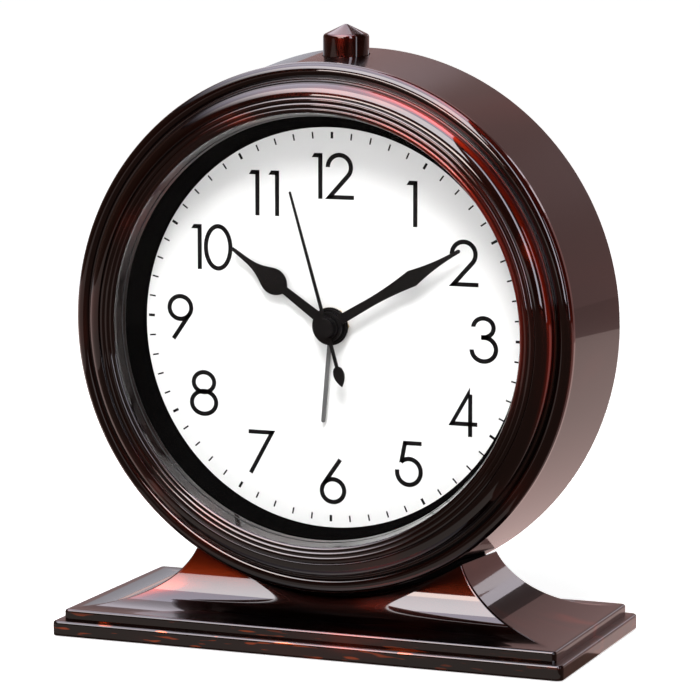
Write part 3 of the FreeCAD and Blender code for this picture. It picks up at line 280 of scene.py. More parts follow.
def thinnedBezel(tree, where, turn, reach, colour):
    # painted glow: red-orange painted on the bezel's edges, most towards two o'clock where the
    # light falls, and how much of the clear coat's gloss each part has
    out = addNode(tree, "ShaderNodeMapRange", [(reach, "Value")], inputs=fadeEnds("thinReach"))
    paintedGlowRamp = rampStops(addNode(tree, "ShaderNodeValToRGB", [(out.outputs[0], "Fac")]),
                     lacquer["thin"])
    aside = addNode(tree, "ShaderNodeVectorMath", [(turn, 0)], operation="DOT_PRODUCT",
                    inputs={1: lacquer["thinWay"]})
    near = addNode(tree, "ShaderNodeMapRange", [(aside.outputs["Value"], "Value")],
                   interpolation_type="SMOOTHSTEP", inputs=fadeEnds("thinSpread"))
    share = addNode(tree, "ShaderNodeMath", [(paintedGlowRamp.outputs[0], 0), (near.outputs[0], 1)],
                    operation="MULTIPLY")
    apart = addNode(tree, "ShaderNodeSeparateXYZ", [(where, 0)])
    ahead = addNode(tree, "ShaderNodeMath", [(apart.outputs["Y"], 0)], operation="LESS_THAN",
                    inputs={1: lacquer["bezelBack"]})
    share = addNode(tree, "ShaderNodeMath", [(share.outputs[0], 0), (ahead.outputs[0], 1)],
                    operation="MULTIPLY")
    # painted glow: the red-orange mixed into the body colour by the share
    thin = addNode(tree, "ShaderNodeMix", [(share.outputs[0], "Factor"), (colour, "A")],
                   data_type="RGBA", inputs={"B": linear(lacquer["thinColour"])})
    inside = addNode(tree, "ShaderNodeMapRange", [(reach, "Value")],
                     inputs={**fadeEnds("bevelReach"), "To Min": lacquer["bevelGloss"]})
    down = addNode(tree, "ShaderNodeVectorMath", [(turn, 0)], operation="DOT_PRODUCT",
                   inputs={1: (0, 0, -1)})
    below = addNode(tree, "ShaderNodeMapRange", [(down.outputs["Value"], "Value")],
                    interpolation_type="SMOOTHSTEP", inputs=fadeEnds("bevelGlossy"))
    polish = addNode(tree, "ShaderNodeMath", [(inside.outputs[0], 0), (below.outputs[0], 1)],
                     operation="MAXIMUM")
    return thin.outputs["Result"], polish.outputs[0]


def speckledStand(tree, where, colour):
    # orange specks along the steps' sides, and painted glow up the horns
    grain = addNode(tree, "ShaderNodeMapping", [(where, "Vector")],
                    inputs={"Scale": lacquer["speckAlong"]})
    dots = addNode(tree, "ShaderNodeTexNoise", [(grain.outputs[0], "Vector")],
                   inputs={"Scale": 1 / lacquer["speck"], "Detail": 1.0})
    strong = addNode(tree, "ShaderNodeMapRange", [(dots.outputs[0], "Value")],
                     inputs=fadeEnds("speckStrength"))
    apart = addNode(tree, "ShaderNodeSeparateXYZ", [(where, 0)])
    low = addNode(tree, "ShaderNodeMapRange", [(apart.outputs["Z"], "Value")],
                  inputs=fadeEnds("speckHeight"))
    share = addNode(tree, "ShaderNodeMath", [(strong.outputs[0], 0), (low.outputs[0], 1)],
                    operation="MULTIPLY")
    few = addNode(tree, "ShaderNodeMapRange", [(apart.outputs["X"], "Value")],
                  inputs={**fadeEnds("speckSide"), "To Min": lacquer["speckLeast"]})
    share = addNode(tree, "ShaderNodeMath", [(share.outputs[0], 0), (few.outputs[0], 1)],
                    operation="MULTIPLY")
    specks = addNode(tree, "ShaderNodeMix", [(share.outputs[0], "Factor"), (colour, "A")],
                     data_type="RGBA", inputs={"B": linear(lacquer["speckColour"])})
    # painted glow: orange-brown mixed in up the horns, more on the left
    high = addNode(tree, "ShaderNodeMapRange", [(apart.outputs["Z"], "Value")],
                   interpolation_type="SMOOTHSTEP", inputs=fadeEnds("hornHeight"))
    left = addNode(tree, "ShaderNodeMapRange", [(apart.outputs["X"], "Value")],
                   inputs={**fadeEnds("hornSide"), "To Min": lacquer["hornLeast"]})
    share = addNode(tree, "ShaderNodeMath", [(high.outputs[0], 0), (left.outputs[0], 1)],
                    operation="MULTIPLY")
    thin = addNode(tree, "ShaderNodeMix", [(share.outputs[0], "Factor"),
                                           (specks.outputs["Result"], "A")],
                   data_type="RGBA", inputs={"B": linear(lacquer["hornGlowColour"])})
    return thin.outputs["Result"]


def lacquerFinish(name, piece):
    # Translucent brown-red candy lacquer over bright metal, sprayed and polished: nearly black
    # where it faces dark, deep red and orange where light gets under the clear coat.
    finish, tree = newFinish(name)
    where = addNode(tree, "ShaderNodeTexCoord").outputs["Object"]
    if piece == "ring":  # cloudy bands that follow the turned ring
        centred = addNode(tree, "ShaderNodeVectorMath", [(where, 0)], operation="SUBTRACT",
                          inputs={1: (0, 0, axisHeight * mm)})
        flat = addNode(tree, "ShaderNodeVectorMath", [(centred.outputs[0], 0)],
                       operation="MULTIPLY", inputs={1: (1, 0, 1)})
        turn = addNode(tree, "ShaderNodeVectorMath", [(flat.outputs[0], 0)],
                       operation="NORMALIZE")
        reach = addNode(tree, "ShaderNodeVectorMath", [(flat.outputs[0], 0)], operation="LENGTH")
        around = addNode(tree, "ShaderNodeVectorMath", [(turn.outputs[0], 0)],
                         operation="SCALE", inputs={"Scale": lacquer["round"]})
        across = addNode(tree, "ShaderNodeCombineXYZ", [(reach.outputs["Value"], 1)])
        place = addNode(tree, "ShaderNodeVectorMath", [(around.outputs[0], 0),
                                                       (across.outputs[0], 1)], operation="ADD")
    else:  # cloudy bands that run along the stand
        place = addNode(tree, "ShaderNodeMapping", [(where, "Vector")],
                        inputs={"Scale": lacquer["along"]})
    clouds = addNode(tree, "ShaderNodeTexNoise", [(place.outputs[0], "Vector")],
                     inputs={"Scale": 1 / lacquer["cloud"], "Detail": 1.5, "Roughness": 0.5,
                             "Distortion": 0.4})
    colour = rampStops(addNode(tree, "ShaderNodeValToRGB", [(clouds.outputs[0], "Fac")]),
                       lacquer["button" if piece == "button" else "case"]).outputs["Color"]
    polish = None
    if piece == "ring":
        # the bezel gets painted glow on its edges, and its gloss by parts
        colour, polish = thinnedBezel(tree, where, turn.outputs[0], reach.outputs["Value"],
                                      colour)
    elif piece == "stand":
        colour = speckledStand(tree, where, colour)
    film = addNode(tree, "ShaderNodeTexNoise", [(where, "Vector")],
                   inputs={"Scale": 1 / lacquer["wave"], "Detail": 2.0})
    peel = addNode(tree, "ShaderNodeBump", [(film.outputs[0], "Height")],
                   inputs={"Strength": lacquer["waveStrength"], "Distance": lacquer["waveDepth"]})
    shader = addNode(tree, "ShaderNodeBsdfPrincipled",
                     [(colour, "Base Color"), (peel.outputs[0], "Normal"),
                      (peel.outputs[0], "Coat Normal")],
                     inputs={"Metallic": 1.0, "Roughness": 0.28, "Coat Weight": 1.0,
                             "Coat Roughness": 0.03, "Coat IOR": 1.6})
    if polish:
        tree.links.new(polish, shader.inputs["Coat Weight"])
    closeFinish(tree, shader)
    return finish


def plasticFinish(name, code, rough, grain=0.0003, depth=0.02, shade=0.12, gloss=0.5):
    # Moulded plastic or paint: one colour with faint cloudiness, which darkens it by the shade
    # at most, and a fine moulded grain.
    cloud = 0.02
    finish, tree = newFinish(name)
    where = addNode(tree, "ShaderNodeTexCoord")
    clouds = addNode(tree, "ShaderNodeTexNoise", [(where.outputs["Object"], "Vector")],
                     inputs={"Scale": 1 / cloud, "Detail": 2.0})
    light = np.array(linear(code))
    dark = light * [1 - shade, 1 - shade, 1 - shade, 1]
    tone = addNode(tree, "ShaderNodeMix", [(clouds.outputs[0], "Factor")], data_type="RGBA",
                   inputs={"A": dark, "B": light})
    grit = addNode(tree, "ShaderNodeTexNoise", [(where.outputs["Object"], "Vector")],
                   inputs={"Scale": 1 / grain, "Detail": 2.0})
    relief = addNode(tree, "ShaderNodeBump", [(grit.outputs[0], "Height")],
                     inputs={"Strength": depth, "Distance": grain * 0.3})
    shader = addNode(tree, "ShaderNodeBsdfPrincipled",
                     [(tone.outputs["Result"], "Base Color"), (relief.outputs[0], "Normal")],
                     inputs={"Roughness": rough, "IOR": 1.49, "Specular IOR Level": gloss})
    closeFinish(tree, shader)
    return finish


def metalFinish(name, code, rough, stretch=(1.0, 1.0, 1.0), grain=0.0004):
    # Bare or plated metal: brushed or drawn marks vary the roughness from 25% less to 30% more.
    finish, tree = newFinish(name)
    where = addNode(tree, "ShaderNodeTexCoord")
    place = addNode(tree, "ShaderNodeMapping", [(where.outputs["Object"], "Vector")],
                    inputs={"Scale": stretch})
    marks = addNode(tree, "ShaderNodeTexNoise", [(place.outputs[0], "Vector")],
                    inputs={"Scale": 1 / grain, "Detail": 3.0})
    spread = addNode(tree, "ShaderNodeMapRange", [(marks.outputs[0], "Value")],
                     inputs={"To Min": rough * 0.75, "To Max": rough * 1.3})
    shader = addNode(tree, "ShaderNodeBsdfPrincipled", [(spread.outputs[0], "Roughness")],
                     inputs={"Base Color": linear(code), "Metallic": 1.0})
    closeFinish(tree, shader)
    return finish


def glassFinish():
    # Float glass, 1.6 mm: clear and flat, with only a faint reflection to show that it is there.
    finish, tree = newFinish("clear_float_glass")
    shader = addNode(tree, "ShaderNodeBsdfPrincipled",
                     inputs={"Base Color": linear("#000000"), "Roughness": 0.0, "IOR": 1.5,
                             "Alpha": 0.05})
    closeFinish(tree, shader)
    return finish


finishes = {
    "lacquerRing": lacquerFinish("candy_lacquer_on_turned_metal", "ring"),
    "lacquerStand": lacquerFinish("candy_lacquer_on_cast_stand", "stand"),
    "lacquerButton": lacquerFinish("candy_lacquer_on_turned_button", "button"),
    "dialWhite": plasticFinish("matt_white_dial_paint", "#f7f7f6", 0.75, grain=0.00025,
                               shade=0.015),
    "ink": plasticFinish("black_screen_ink", "#050505", 0.6, shade=0.2, gloss=0.15),
    "handBlack": plasticFinish("satin_black_enamel_on_brass", "#070707", 0.4, shade=0.2,
                               gloss=0.25),
    "alarmGrey": plasticFinish("satin_grey_enamel", "#5c5c5c", 0.45),
    "ringBlack": plasticFinish("matt_black_abs", "#080808", 0.8, grain=0.0005, depth=0.05,
                               gloss=0.0),
    "padBlack": plasticFinish("black_rubber_sheet", "#0a0808", 0.85, grain=0.0006, depth=0.3,
                              gloss=0.1),
    "coverBlack": plasticFinish("spark_eroded_black_abs", "#151414", 0.55, grain=0.0006,
                                depth=0.35),
    "knobBlack": plasticFinish("moulded_black_abs", "#121111", 0.4, grain=0.0005, depth=0.08),
    "trainWhite": plasticFinish("natural_acetal", "#e8e4d6", 0.4),
    "boardGreen": plasticFinish("green_solder_mask", "#1f5a38", 0.35, shade=0.25),
    "rubber": plasticFinish("black_rubber", "#1a1a1a", 0.8, grain=0.0004, depth=0.2),
    "chipBlack": plasticFinish("epoxy_blob", "#101010", 0.3),
    "cellWrap": plasticFinish("printed_cell_sleeve", "#3a3f45", 0.3),
    "steel": metalFinish("nickel_plated_steel", "#b9b8b4", 0.25),
    "spring": metalFinish("drawn_steel_wire", "#a5a5a2", 0.3),
    "bronze": metalFinish("phosphor_bronze_strip", "#b98a55", 0.3, stretch=(0.1, 1, 1)),
    "brass": metalFinish("turned_brass", "#c9a45a", 0.25),
    "copper": metalFinish("enamelled_copper_wire", "#b4602f", 0.3, stretch=(1, 0.1, 0.1)),
    "core": metalFinish("silicon_steel_sheet", "#8d8c8a", 0.4),
    "glass": glassFinish(),
}

# which solids of the frame get which finish
cadFinishes = {
    "coverBlack": "base_plate back_cover battery_door",
    "knobBlack": "alarm_switch time_set_knob alarm_set_knob movement_front_case"
                 " movement_rear_case button_stem button_guide",
    "handBlack": "hour_hand minute_hand second_hand",
    "alarmGrey": "alarm_hand",
    "dialWhite": "dial_plate",
    "trainWhite": "middle_plate rotor fifth_wheel second_wheel third_wheel centre_wheel"
                  " minute_wheel hour_wheel alarm_wheel time_set_shaft alarm_set_shaft"
                  " coil_bobbin",
    "rubber": "rubber_feet lens_gasket",
    "boardGreen": "circuit_board switch_board",
    "chipBlack": "timing_chip button_switch",
    "cellWrap": "battery_cell",
    "steel": "base_screws head_screws bezel_screws cover_screws movement_screws quartz_crystal",
    "spring": "negative_spring",
    "bronze": "alarm_contact_spring positive_contact",
    "brass": "hub_nut buzzer",
    "copper": "coil_winding",
    "core": "stator",
}
for finish, names in cadFinishes.items():
    for name in names.split():
        for holder in nodes[name].material_slots:
            holder.material = finishes[finish]
print("finishes ready:", len(finishes))


# Surfaces

def gridFaces(rows, columns, closeRows=False, closeColumns=False):
    # the four corners of every cell of a grid counted row by row; a closed way joins its ends
    down, across = np.meshgrid(np.arange(rows if closeRows else rows - 1),
                               np.arange(columns if closeColumns else columns - 1),
                               indexing="ij")
    nextDown, nextAcross = (down + 1) % rows, (across + 1) % columns
    return np.stack([down * columns + across, down * columns + nextAcross,
                     nextDown * columns + nextAcross, nextDown * columns + across],
                    axis=-1).reshape(-1, 4)


mergeGap = 0.0004  # points closer than this are one


def makePiece(name, points, faces, finish, body="clock", stands=(), sharp=None):
    # a mesh from points in mm, its doubles merged and its faces turned outwards
    mesh = bpy.data.meshes.new(name)
    mesh.from_pydata((np.asarray(points) * mm).tolist(), [], np.asarray(faces).tolist())
    work = bmesh.new()
    work.from_mesh(mesh)
    bmesh.ops.remove_doubles(work, verts=work.verts, dist=mergeGap * mm)
    bmesh.ops.recalc_face_normals(work, faces=work.faces)
    work.to_mesh(mesh)
    work.free()
    mesh.shade_smooth()
    if sharp:
        mesh.set_sharp_from_angle(angle=math.radians(sharp))
    mesh.materials.append(finishes[finish])
    piece = bpy.data.objects.new(name, mesh)
    bpy.context.scene.collection.objects.link(piece)
    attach(piece, body)
    if stands:
        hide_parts(*stands)
    return piece


def arcBetween(start, end, radius, steps=22):
    # equal turns of the arc of that radius that bulges to the right of the way to its end
    chord = end - start
    length = np.hypot(*chord)
    outward = np.array([chord[1], -chord[0]]) / length
    middle = (start + end) / 2 - outward * math.sqrt(radius ** 2 - length ** 2 / 4)
    half = math.asin(length / 2 / radius)
    turns = np.linspace(-half, half, steps)[:, None]
    return middle + radius * (outward * np.cos(turns) + chord / length * np.sin(turns))


softening = {"leastTurn": 0.3, "mostTurn": 2.4, "runShare": 0.4, "hold": 0.25,
             "holdShare": 0.3, "leastRun": 1e-4, "steps": 6}


def softProfile(corners, soften, how=softening):
    # a closed outline of straight runs, and of arcs where a corner has a third number; each
    # corner that turns by more than the least becomes a parabola as wide as the softening times
    # the tangent of half its turn, with one more point held on the run on each side
    spots = [np.array(corner[:2], float) for corner in corners]
    ends = spots[1:] + spots[:1]
    path = np.concatenate([arcBetween(start, end, corner[2])[:-1] if len(corner) > 2
                           else start[None] for corner, start, end in zip(corners, spots, ends)])
    back, ahead = np.roll(path, 1, 0) - path, np.roll(path, -1, 0) - path
    backLength = np.linalg.norm(back, axis=1)
    aheadLength = np.linalg.norm(ahead, axis=1)
    back, ahead = back / backLength[:, None], ahead / aheadLength[:, None]
    turn = np.arccos(np.clip(-(back * ahead).sum(1), -1, 1))
    run = np.minimum(backLength, aheadLength)
    reach = np.minimum(soften * np.tan(np.minimum(turn, how["mostTurn"]) / 2),
                       how["runShare"] * run) * (turn > how["leastTurn"])
    keep = (reach > 0) * np.minimum(how["hold"], how["holdShare"] * (run - reach))
    before, after = path + back * reach[:, None], path + ahead * reach[:, None]
    t = np.linspace(0, 1, how["steps"])[None, :, None]
    curve = ((1 - t) ** 2 * before[:, None] + 2 * t * (1 - t) * path[:, None]
             + t ** 2 * after[:, None])
    full = np.concatenate([(before + back * keep[:, None])[:, None], curve,
                           (after + ahead * keep[:, None])[:, None]], axis=1).reshape(-1, 2)
    return full[np.linalg.norm(full - np.roll(full, 1, 0), axis=1) > how["leastRun"]]


def turnedPoints(path, steps, upright=False):
    # the outline (radius, place on the axis) carried round Y through the dial, or round Z
    turn = np.linspace(0, 2 * math.pi, steps, endpoint=False)[:, None]
    radius, along = path[:, 0][None], path[:, 1][None] + 0 * turn
    if upright:
        grid = [radius * np.sin(turn), radius * np.cos(turn), along]
    else:
        grid = [radius * np.sin(turn), along, axisHeight + radius * np.cos(turn)]
    return np.stack(grid, axis=-1).reshape(-1, 3), gridFaces(steps, len(path), True, True)


def roundBar(name, radius, span, steps, finish, aside=0.0):
    # an upright bar to cut a hole with: a rectangle carried round Z, then moved aside
    outline = [(0, span[0]), (radius, span[0]), (radius, span[1]), (0, span[1])]
    points, faces = turnedPoints(np.array(outline, float), steps, upright=True)
    return makePiece(name, points + [aside, 0, 0], faces, finish)


def cutHole(piece, cutter):
    # cuts one closed mesh out of another and keeps the result as the piece's own mesh
    step = piece.modifiers.new("hole", "BOOLEAN")
    step.operation, step.solver, step.object = "DIFFERENCE", "EXACT", cutter
    bpy.context.view_layer.update()
    shape = bpy.data.meshes.new_from_object(piece.evaluated_get(
        bpy.context.evaluated_depsgraph_get()))
    piece.modifiers.clear()
    piece.data = shape
    bpy.data.objects.remove(cutter)


# Bezel: a moulded ring with a bevelled lip, three beads, a cavetto and an outer quarter round

bezel = {"radius": 74.0, "back": -19.4, "front": -26.4, "lip": 58.9, "rebate": 63.6,
         "bevelEnd": -20.5, "bevelFoot": 0.2, "soften": 0.16, "steps": 320,
         # out from the lip and back from the front, then the radius of the arc that follows
         "beads": [(1.35, 0.8, 1.0), (2.7, 0.4, 1.1), (4.15, 0.3, 1.3), (5.8, 0.4)],
         "cavetto": [(6.0, 0.0, 4.25)],
         # the same from the outer radius: the step and the outer quarter round
         "edge": [(-4.9, 4.0), (-4.3, 4.0), (-4.1, 4.5, 2.5), (0.0, 5.6)]}


def makeBezel(size):
    # the ring's outline carried round the dial's axis
    lip, front, radius, back = size["lip"], size["front"], size["radius"], size["back"]
    corners = [(size["rebate"], back), (size["rebate"], size["bevelEnd"]),
               (lip + size["bevelFoot"], size["bevelEnd"])]
    corners += [(lip + out, front + deep, *arc)
                for out, deep, *arc in size["beads"] + size["cavetto"]]
    corners += [(radius + out, front + deep, *arc) for out, deep, *arc in size["edge"]]
    path = softProfile(corners + [(radius, back)], size["soften"])
    points, faces = turnedPoints(path, size["steps"])
    makePiece("bezel_ring", points, faces, "lacquerRing", stands=["bezel"])


makeBezel(bezel)
print("bezel made")


# Drum: a tapered tube with a rounded rear rim and a hole for the button

drum = {"frontRadius": 73.4, "rearRadius": 76.6, "front": -19.4, "rim": 12.8, "wall": 1.6,
        "flange": 62.0, "flangeWall": 1.8, "rimWidth": 1.6, "rimArc": 1.7, "held": 0.3,
        "seatRadius": 72.4, "seat": 12.6, "ledge": 67.0, "ledgeWall": 1.6,
        "buttonHole": 6.72, "holeSpan": (156.5, 176.5), "holeSteps": 96, "soften": 0.2,
        "steps": 288, "sharp": 35}


def coneRadius(along, size=drum):
    # the drum's outside at a place along its axis: a straight taper
    slope = (size["rearRadius"] - size["frontRadius"]) / (size["rim"] - size["front"])
    return size["frontRadius"] + slope * (along - size["front"])


def makeDrum(size):
    # a walled cone: its outline carried round the dial's axis, then the button's hole
    front, rear, rim, seat = size["front"], size["rearRadius"], size["rim"], size["seat"]
    end, ledge, inner = rim + size["rimWidth"], seat - size["ledgeWall"], front + size["flangeWall"]
    path = softProfile([
        (size["flange"], front), (size["frontRadius"], front),
        (coneRadius(rim - size["held"]), rim - size["held"]),
        (rear, rim, size["rimArc"]), (rear - size["rimWidth"], end),
        (size["seatRadius"], end), (size["seatRadius"], seat),
        (size["ledge"], seat), (size["ledge"], ledge), (coneRadius(ledge) - size["wall"], ledge),
        (coneRadius(inner) - size["wall"], inner), (size["flange"], inner),
    ], size["soften"])
    points, faces = turnedPoints(path, size["steps"])
    tube = makePiece("drum_tube", points, faces, "lacquerRing",
                     stands=["drum_case"])
    cutHole(tube, roundBar("button_hole", size["buttonHole"], size["holeSpan"],
                           size["holeSteps"], "lacquerRing"))
    tube.data.set_sharp_from_angle(angle=math.radians(size["sharp"]))


makeDrum(drum)
print("drum made")


# Stand: two rounded steps, four coves that meet in mitres, and the saddle under the drum

stand = {"halfWidth": 76.2, "halfDepth": 35.8, "corner": 2.0, "foot": 0.4, "footHeld": 0.5,
         "chamfer": 0.2,
         # the two steps: rounded top edges, points held on their sides and on the lower one's top
         "lowerTop": 4.6, "upperTop": 7.7, "inset": 2.7, "upperCorner": 1.4, "edge": 0.8,
         "edgeSteps": 9, "held": 0.25, "shelf": (0.3, 0.06),
         # the coves: how far in and up they reach, how they bend, and how blunt their mitres are
         "coveWidth": 33.86, "coveDepth": 18.49, "coveHeight": 23.74, "sideBend": 1.02,
         "frontBend": 0.65, "coveSteps": 44, "coveSpread": 1.15, "arris": 0.7, "arrisFoot": 0.15,
         # the saddle: its radius at the drum's rear, taper, rim and rings inwards
         "saddleRadius": 77.1, "saddleTaper": 0.05, "saddleEdge": 0.3, "rimSteps": 6,
         "bowl": (0.985, 0.93, 0.8, 0.6, 0.4, 0.2, 0.0),
         # the hollow underneath, and its neck: half width, half depth and roof
         "wall": 5.0, "roof": 5.5, "hollowCorner": 0.6, "neck": (30.0, 13.0, 9.5),
         "neckCorner": 0.3, "sharp": 50}


def ringColumns(longSteps=110, shortSteps=46, cornerSteps=9):
    # round a rectangle: where each column stands on the core (-1 to 1), closer together towards
    # the corners by a sine, and which way it faces
    longWay, shortWay = [np.sin(np.linspace(-1, 1, steps) * math.pi / 2)
                         for steps in (longSteps, shortSteps)]
    longOnes, shortOnes = np.ones(longSteps), np.ones(shortSteps)
    core = [np.stack([longWay, -longOnes], 1), np.stack([shortOnes, shortWay], 1),
            np.stack([-longWay, longOnes], 1), np.stack([-shortOnes, -shortWay], 1)]
    facing = [np.tile(way, (len(run), 1)) for way, run in
              zip([(0.0, -1.0), (1.0, 0.0), (0.0, 1.0), (-1.0, 0.0)], core)]
    swing = np.linspace(0, math.pi / 2, cornerSteps)[1:-1]
    columns, ways = [], []
    for number in range(4):
        turn = -math.pi / 2 + number * math.pi / 2 + swing
        columns += [core[number], np.tile(core[number][-1], (len(swing), 1))]
        ways += [facing[number], np.stack([np.cos(turn), np.sin(turn)], 1)]
    return np.concatenate(columns), np.concatenate(ways)


def saddleRadius(along):
    # a cone round the drum's axis: half the drum's own taper, closest to it at its rear
    return stand["saddleRadius"] + stand["saddleTaper"] * (along - drum["rim"])


def makeStand(size):
    # rings of columns from the hollow underneath, up the steps and coves, into the saddle
    core, facing = ringColumns()
    halfWidth, halfDepth, foot, chamfer = (size["halfWidth"], size["halfDepth"], size["foot"],
                                           size["chamfer"])

    def ring(inset, corner, height):
        # a rounded rectangle: the core shrunk by the corner radius, and the radius outwards
        half = np.array([halfWidth, halfDepth]) - inset
        return np.column_stack([core * (half - corner) + corner * facing,
                                np.full(len(core), height)])

    def step(inset, corner, low, high):
        # one step's side with a point held above its foot and a quarter-round top edge
        edge, held = size["edge"], size["held"]
        rows = [ring(inset, corner, level) for level in (low, low + held, high - edge - held)]
        for turn in np.linspace(0, math.pi / 2, size["edgeSteps"]):
            back = edge * (1 - math.cos(turn))
            rows.append(ring(inset + back, corner - back, high - edge * (1 - math.sin(turn))))
        return rows

    neckWidth, neckDepth, neckRoof = size["neck"]
    neck = np.array([halfWidth - neckWidth, halfDepth - neckDepth])
    point = np.array([halfWidth, halfDepth]) - 0.001  # closes the roof
    wall, roof, corner, upper = size["wall"], size["roof"], size["corner"], size["upperCorner"]
    hollow, held = size["hollowCorner"], size["footHeld"]
    rows = [ring(point, 0.0, neckRoof), ring(neck, size["neckCorner"], neckRoof),
            ring(neck, size["neckCorner"], roof), ring(wall, hollow, roof),
            ring(wall, hollow, foot + chamfer), ring(wall - chamfer, hollow + chamfer, foot),
            ring(held, corner - held, foot), ring(chamfer, corner - chamfer, foot)]
    rows += step(0.0, corner, foot + chamfer, size["lowerTop"])
    rows += [ring(size["inset"] - gap, upper + gap, size["lowerTop"]) for gap in size["shelf"]]
    rows += step(size["inset"], upper, size["lowerTop"], size["upperTop"])

    def cove(swing, corner):
        # inset = width * sin ** bend, height = rise * (1 - cos)
        start = np.array([halfWidth, halfDepth]) - size["inset"] - size["edge"]
        width = start[0] - size["coveWidth"] * np.sin(swing) ** size["sideBend"]
        depth = start[1] - size["coveDepth"] * np.sin(swing) ** size["frontBend"]
        flat = core * (np.stack([width, depth], -1) - corner) + corner * facing
        height = size["upperTop"] + size["coveHeight"] - size["coveHeight"] * np.cos(swing)
        return np.column_stack([flat, height])

    def saddle(row):
        return axisHeight - np.sqrt(saddleRadius(row[:, 1]) ** 2 - row[:, 0] ** 2)

    # the angle at which each column meets the saddle, found by halving its span 40 times
    low, high = np.zeros(len(core)), np.full(len(core), math.pi / 2)
    for halving in range(40):
        middle = (low + high) / 2
        spot = cove(middle, size["arris"])
        under = spot[:, 2] < saddle(spot)
        low, high = np.where(under, middle, low), np.where(under, high, middle)
    end = (low + high) / 2
    coves = [cove(end * part, size["arris"] + size["arrisFoot"] * (1 - part))
             for part in np.linspace(0, 1, size["coveSteps"])[1:] ** size["coveSpread"]]
    edge = coves[-1]
    inward = [edge * [part, part, 1] for part in size["bowl"]]
    bowl = [np.column_stack([row[:, :2], saddle(row)]) for row in inward]

    # the rim between the coves and the saddle is a parabola
    def towards(row):
        away = row - edge
        return edge + away / np.linalg.norm(away, axis=1)[:, None] * size["saddleEdge"]

    before, after = towards(coves[-2]), towards(bowl[0])
    rim = [(1 - t) ** 2 * before + 2 * t * (1 - t) * edge + t ** 2 * after
           for t in np.linspace(0, 1, size["rimSteps"])]
    rows += coves[:-1] + rim + bowl
    makePiece("coved_stand", np.concatenate(rows), gridFaces(len(rows), len(core), False, True),
              "lacquerStand", stands=["pedestal_base"], sharp=size["sharp"])


makeStand(stand)
print("stand made")


# Soft pad in the saddle, under the tapered drum

pad = {"halfTurn": 30.6, "halfDepth": 10.5, "gap": 0.05, "soften": 0.3, "steps": 140,
       # each end rounds off: a share of the half turn, and the size of the outline there
       "ends": [(1.0, 0.0), (1.0, 0.75), (0.997, 0.9), (0.99, 0.97)], "even": 0.98,
       "screwSpan": 18.0, "screwHole": 2.2, "holeSpan": (2.0, 30.0), "holeSteps": 48, "sharp": 50}


def makePad(size):
    # an outline between the drum's cone and the saddle, carried round the drum's axis, where
    # the outline shrinks to its middle at both ends
    ends = np.array([-1.0, 1.0]) * size["halfDepth"]
    inside, outside = coneRadius(ends) + size["gap"], saddleRadius(ends) - size["gap"]
    path = softProfile([(inside[0], ends[0]), (inside[1], ends[1]), (outside[1], ends[1]),
                        (outside[0], ends[0])], size["soften"])
    endShare, endGrow = np.array(size["ends"]).T
    share = np.linspace(-size["even"], size["even"], size["steps"])
    turn = math.radians(size["halfTurn"]) * np.concatenate([-endShare, share, endShare[::-1]])
    grow = np.concatenate([endGrow, np.ones(size["steps"]), endGrow[::-1]])
    middle = path.mean(0)
    rows = middle + (path - middle) * grow[:, None, None]
    points = np.stack([rows[..., 0] * np.sin(turn)[:, None], rows[..., 1],
                       axisHeight - rows[..., 0] * np.cos(turn)[:, None]], -1).reshape(-1, 3)
    cushion = makePiece("saddle_cushion", points, gridFaces(len(turn), len(path), False, True),
                        "padBlack", stands=["saddle_pad"], sharp=size["sharp"])
    for side in (-1, 1):
        cutHole(cushion, roundBar("screw_hole", size["screwHole"], size["holeSpan"],
                                  size["holeSteps"], "padBlack",
                                  side * size["screwSpan"]))
    cushion.data.set_sharp_from_angle(angle=math.radians(size["sharp"]))


makePad(pad)
print("pad made")


# Push button on the crown

button = {"radius": 6.46, "apex": 173.6, "shoulder": 170.9, "foot": 161.5,
          "stem": 1.6, "stemDepth": 7.0, "skirt": 4.9, "skirtDepth": 2.5,
          # the shoulder's rounding: its width, drop and radius, and the point held below it
          "rounding": (0.55, 0.9, 1.1), "held": 1.15,
          # the blunt tip of the cone: its radius, drop and rounding
          "tip": (0.7, 0.2, 1.325), "soften": 0.12, "steps": 128}


def makeButton(size):
    # a cap with a low cone, hollow below: its outline carried round its own upright axis
    radius, foot, shoulder, apex = size["radius"], size["foot"], size["shoulder"], size["apex"]
    skirtTop, stemTop = foot + size["skirtDepth"], foot + size["stemDepth"]
    width, drop, arc = size["rounding"]
    tip, tipDrop, tipArc = size["tip"]
    path = softProfile([
        (size["stem"], stemTop), (size["stem"], skirtTop), (size["skirt"], skirtTop),
        (size["skirt"], foot), (radius, foot), (radius, shoulder - size["held"]),
        (radius, shoulder - drop, arc), (radius - width, shoulder), (tip, apex - tipDrop, tipArc),
        (0, apex), (0, stemTop),
    ], size["soften"])
    points, faces = turnedPoints(np.maximum(path, 0), size["steps"], upright=True)
    makePiece("crown_button", points, faces, "lacquerButton", body="button",
              stands=["top_button"])


makeButton(button)
print("button made")


# Return spring in the button's guide

spring = {"radius": 3.4, "wire": 0.25, "turns": 4.5, "foot": 154.5, "rise": 9.2, "steps": 130,
          "sides": 12, "travel": 2.0}


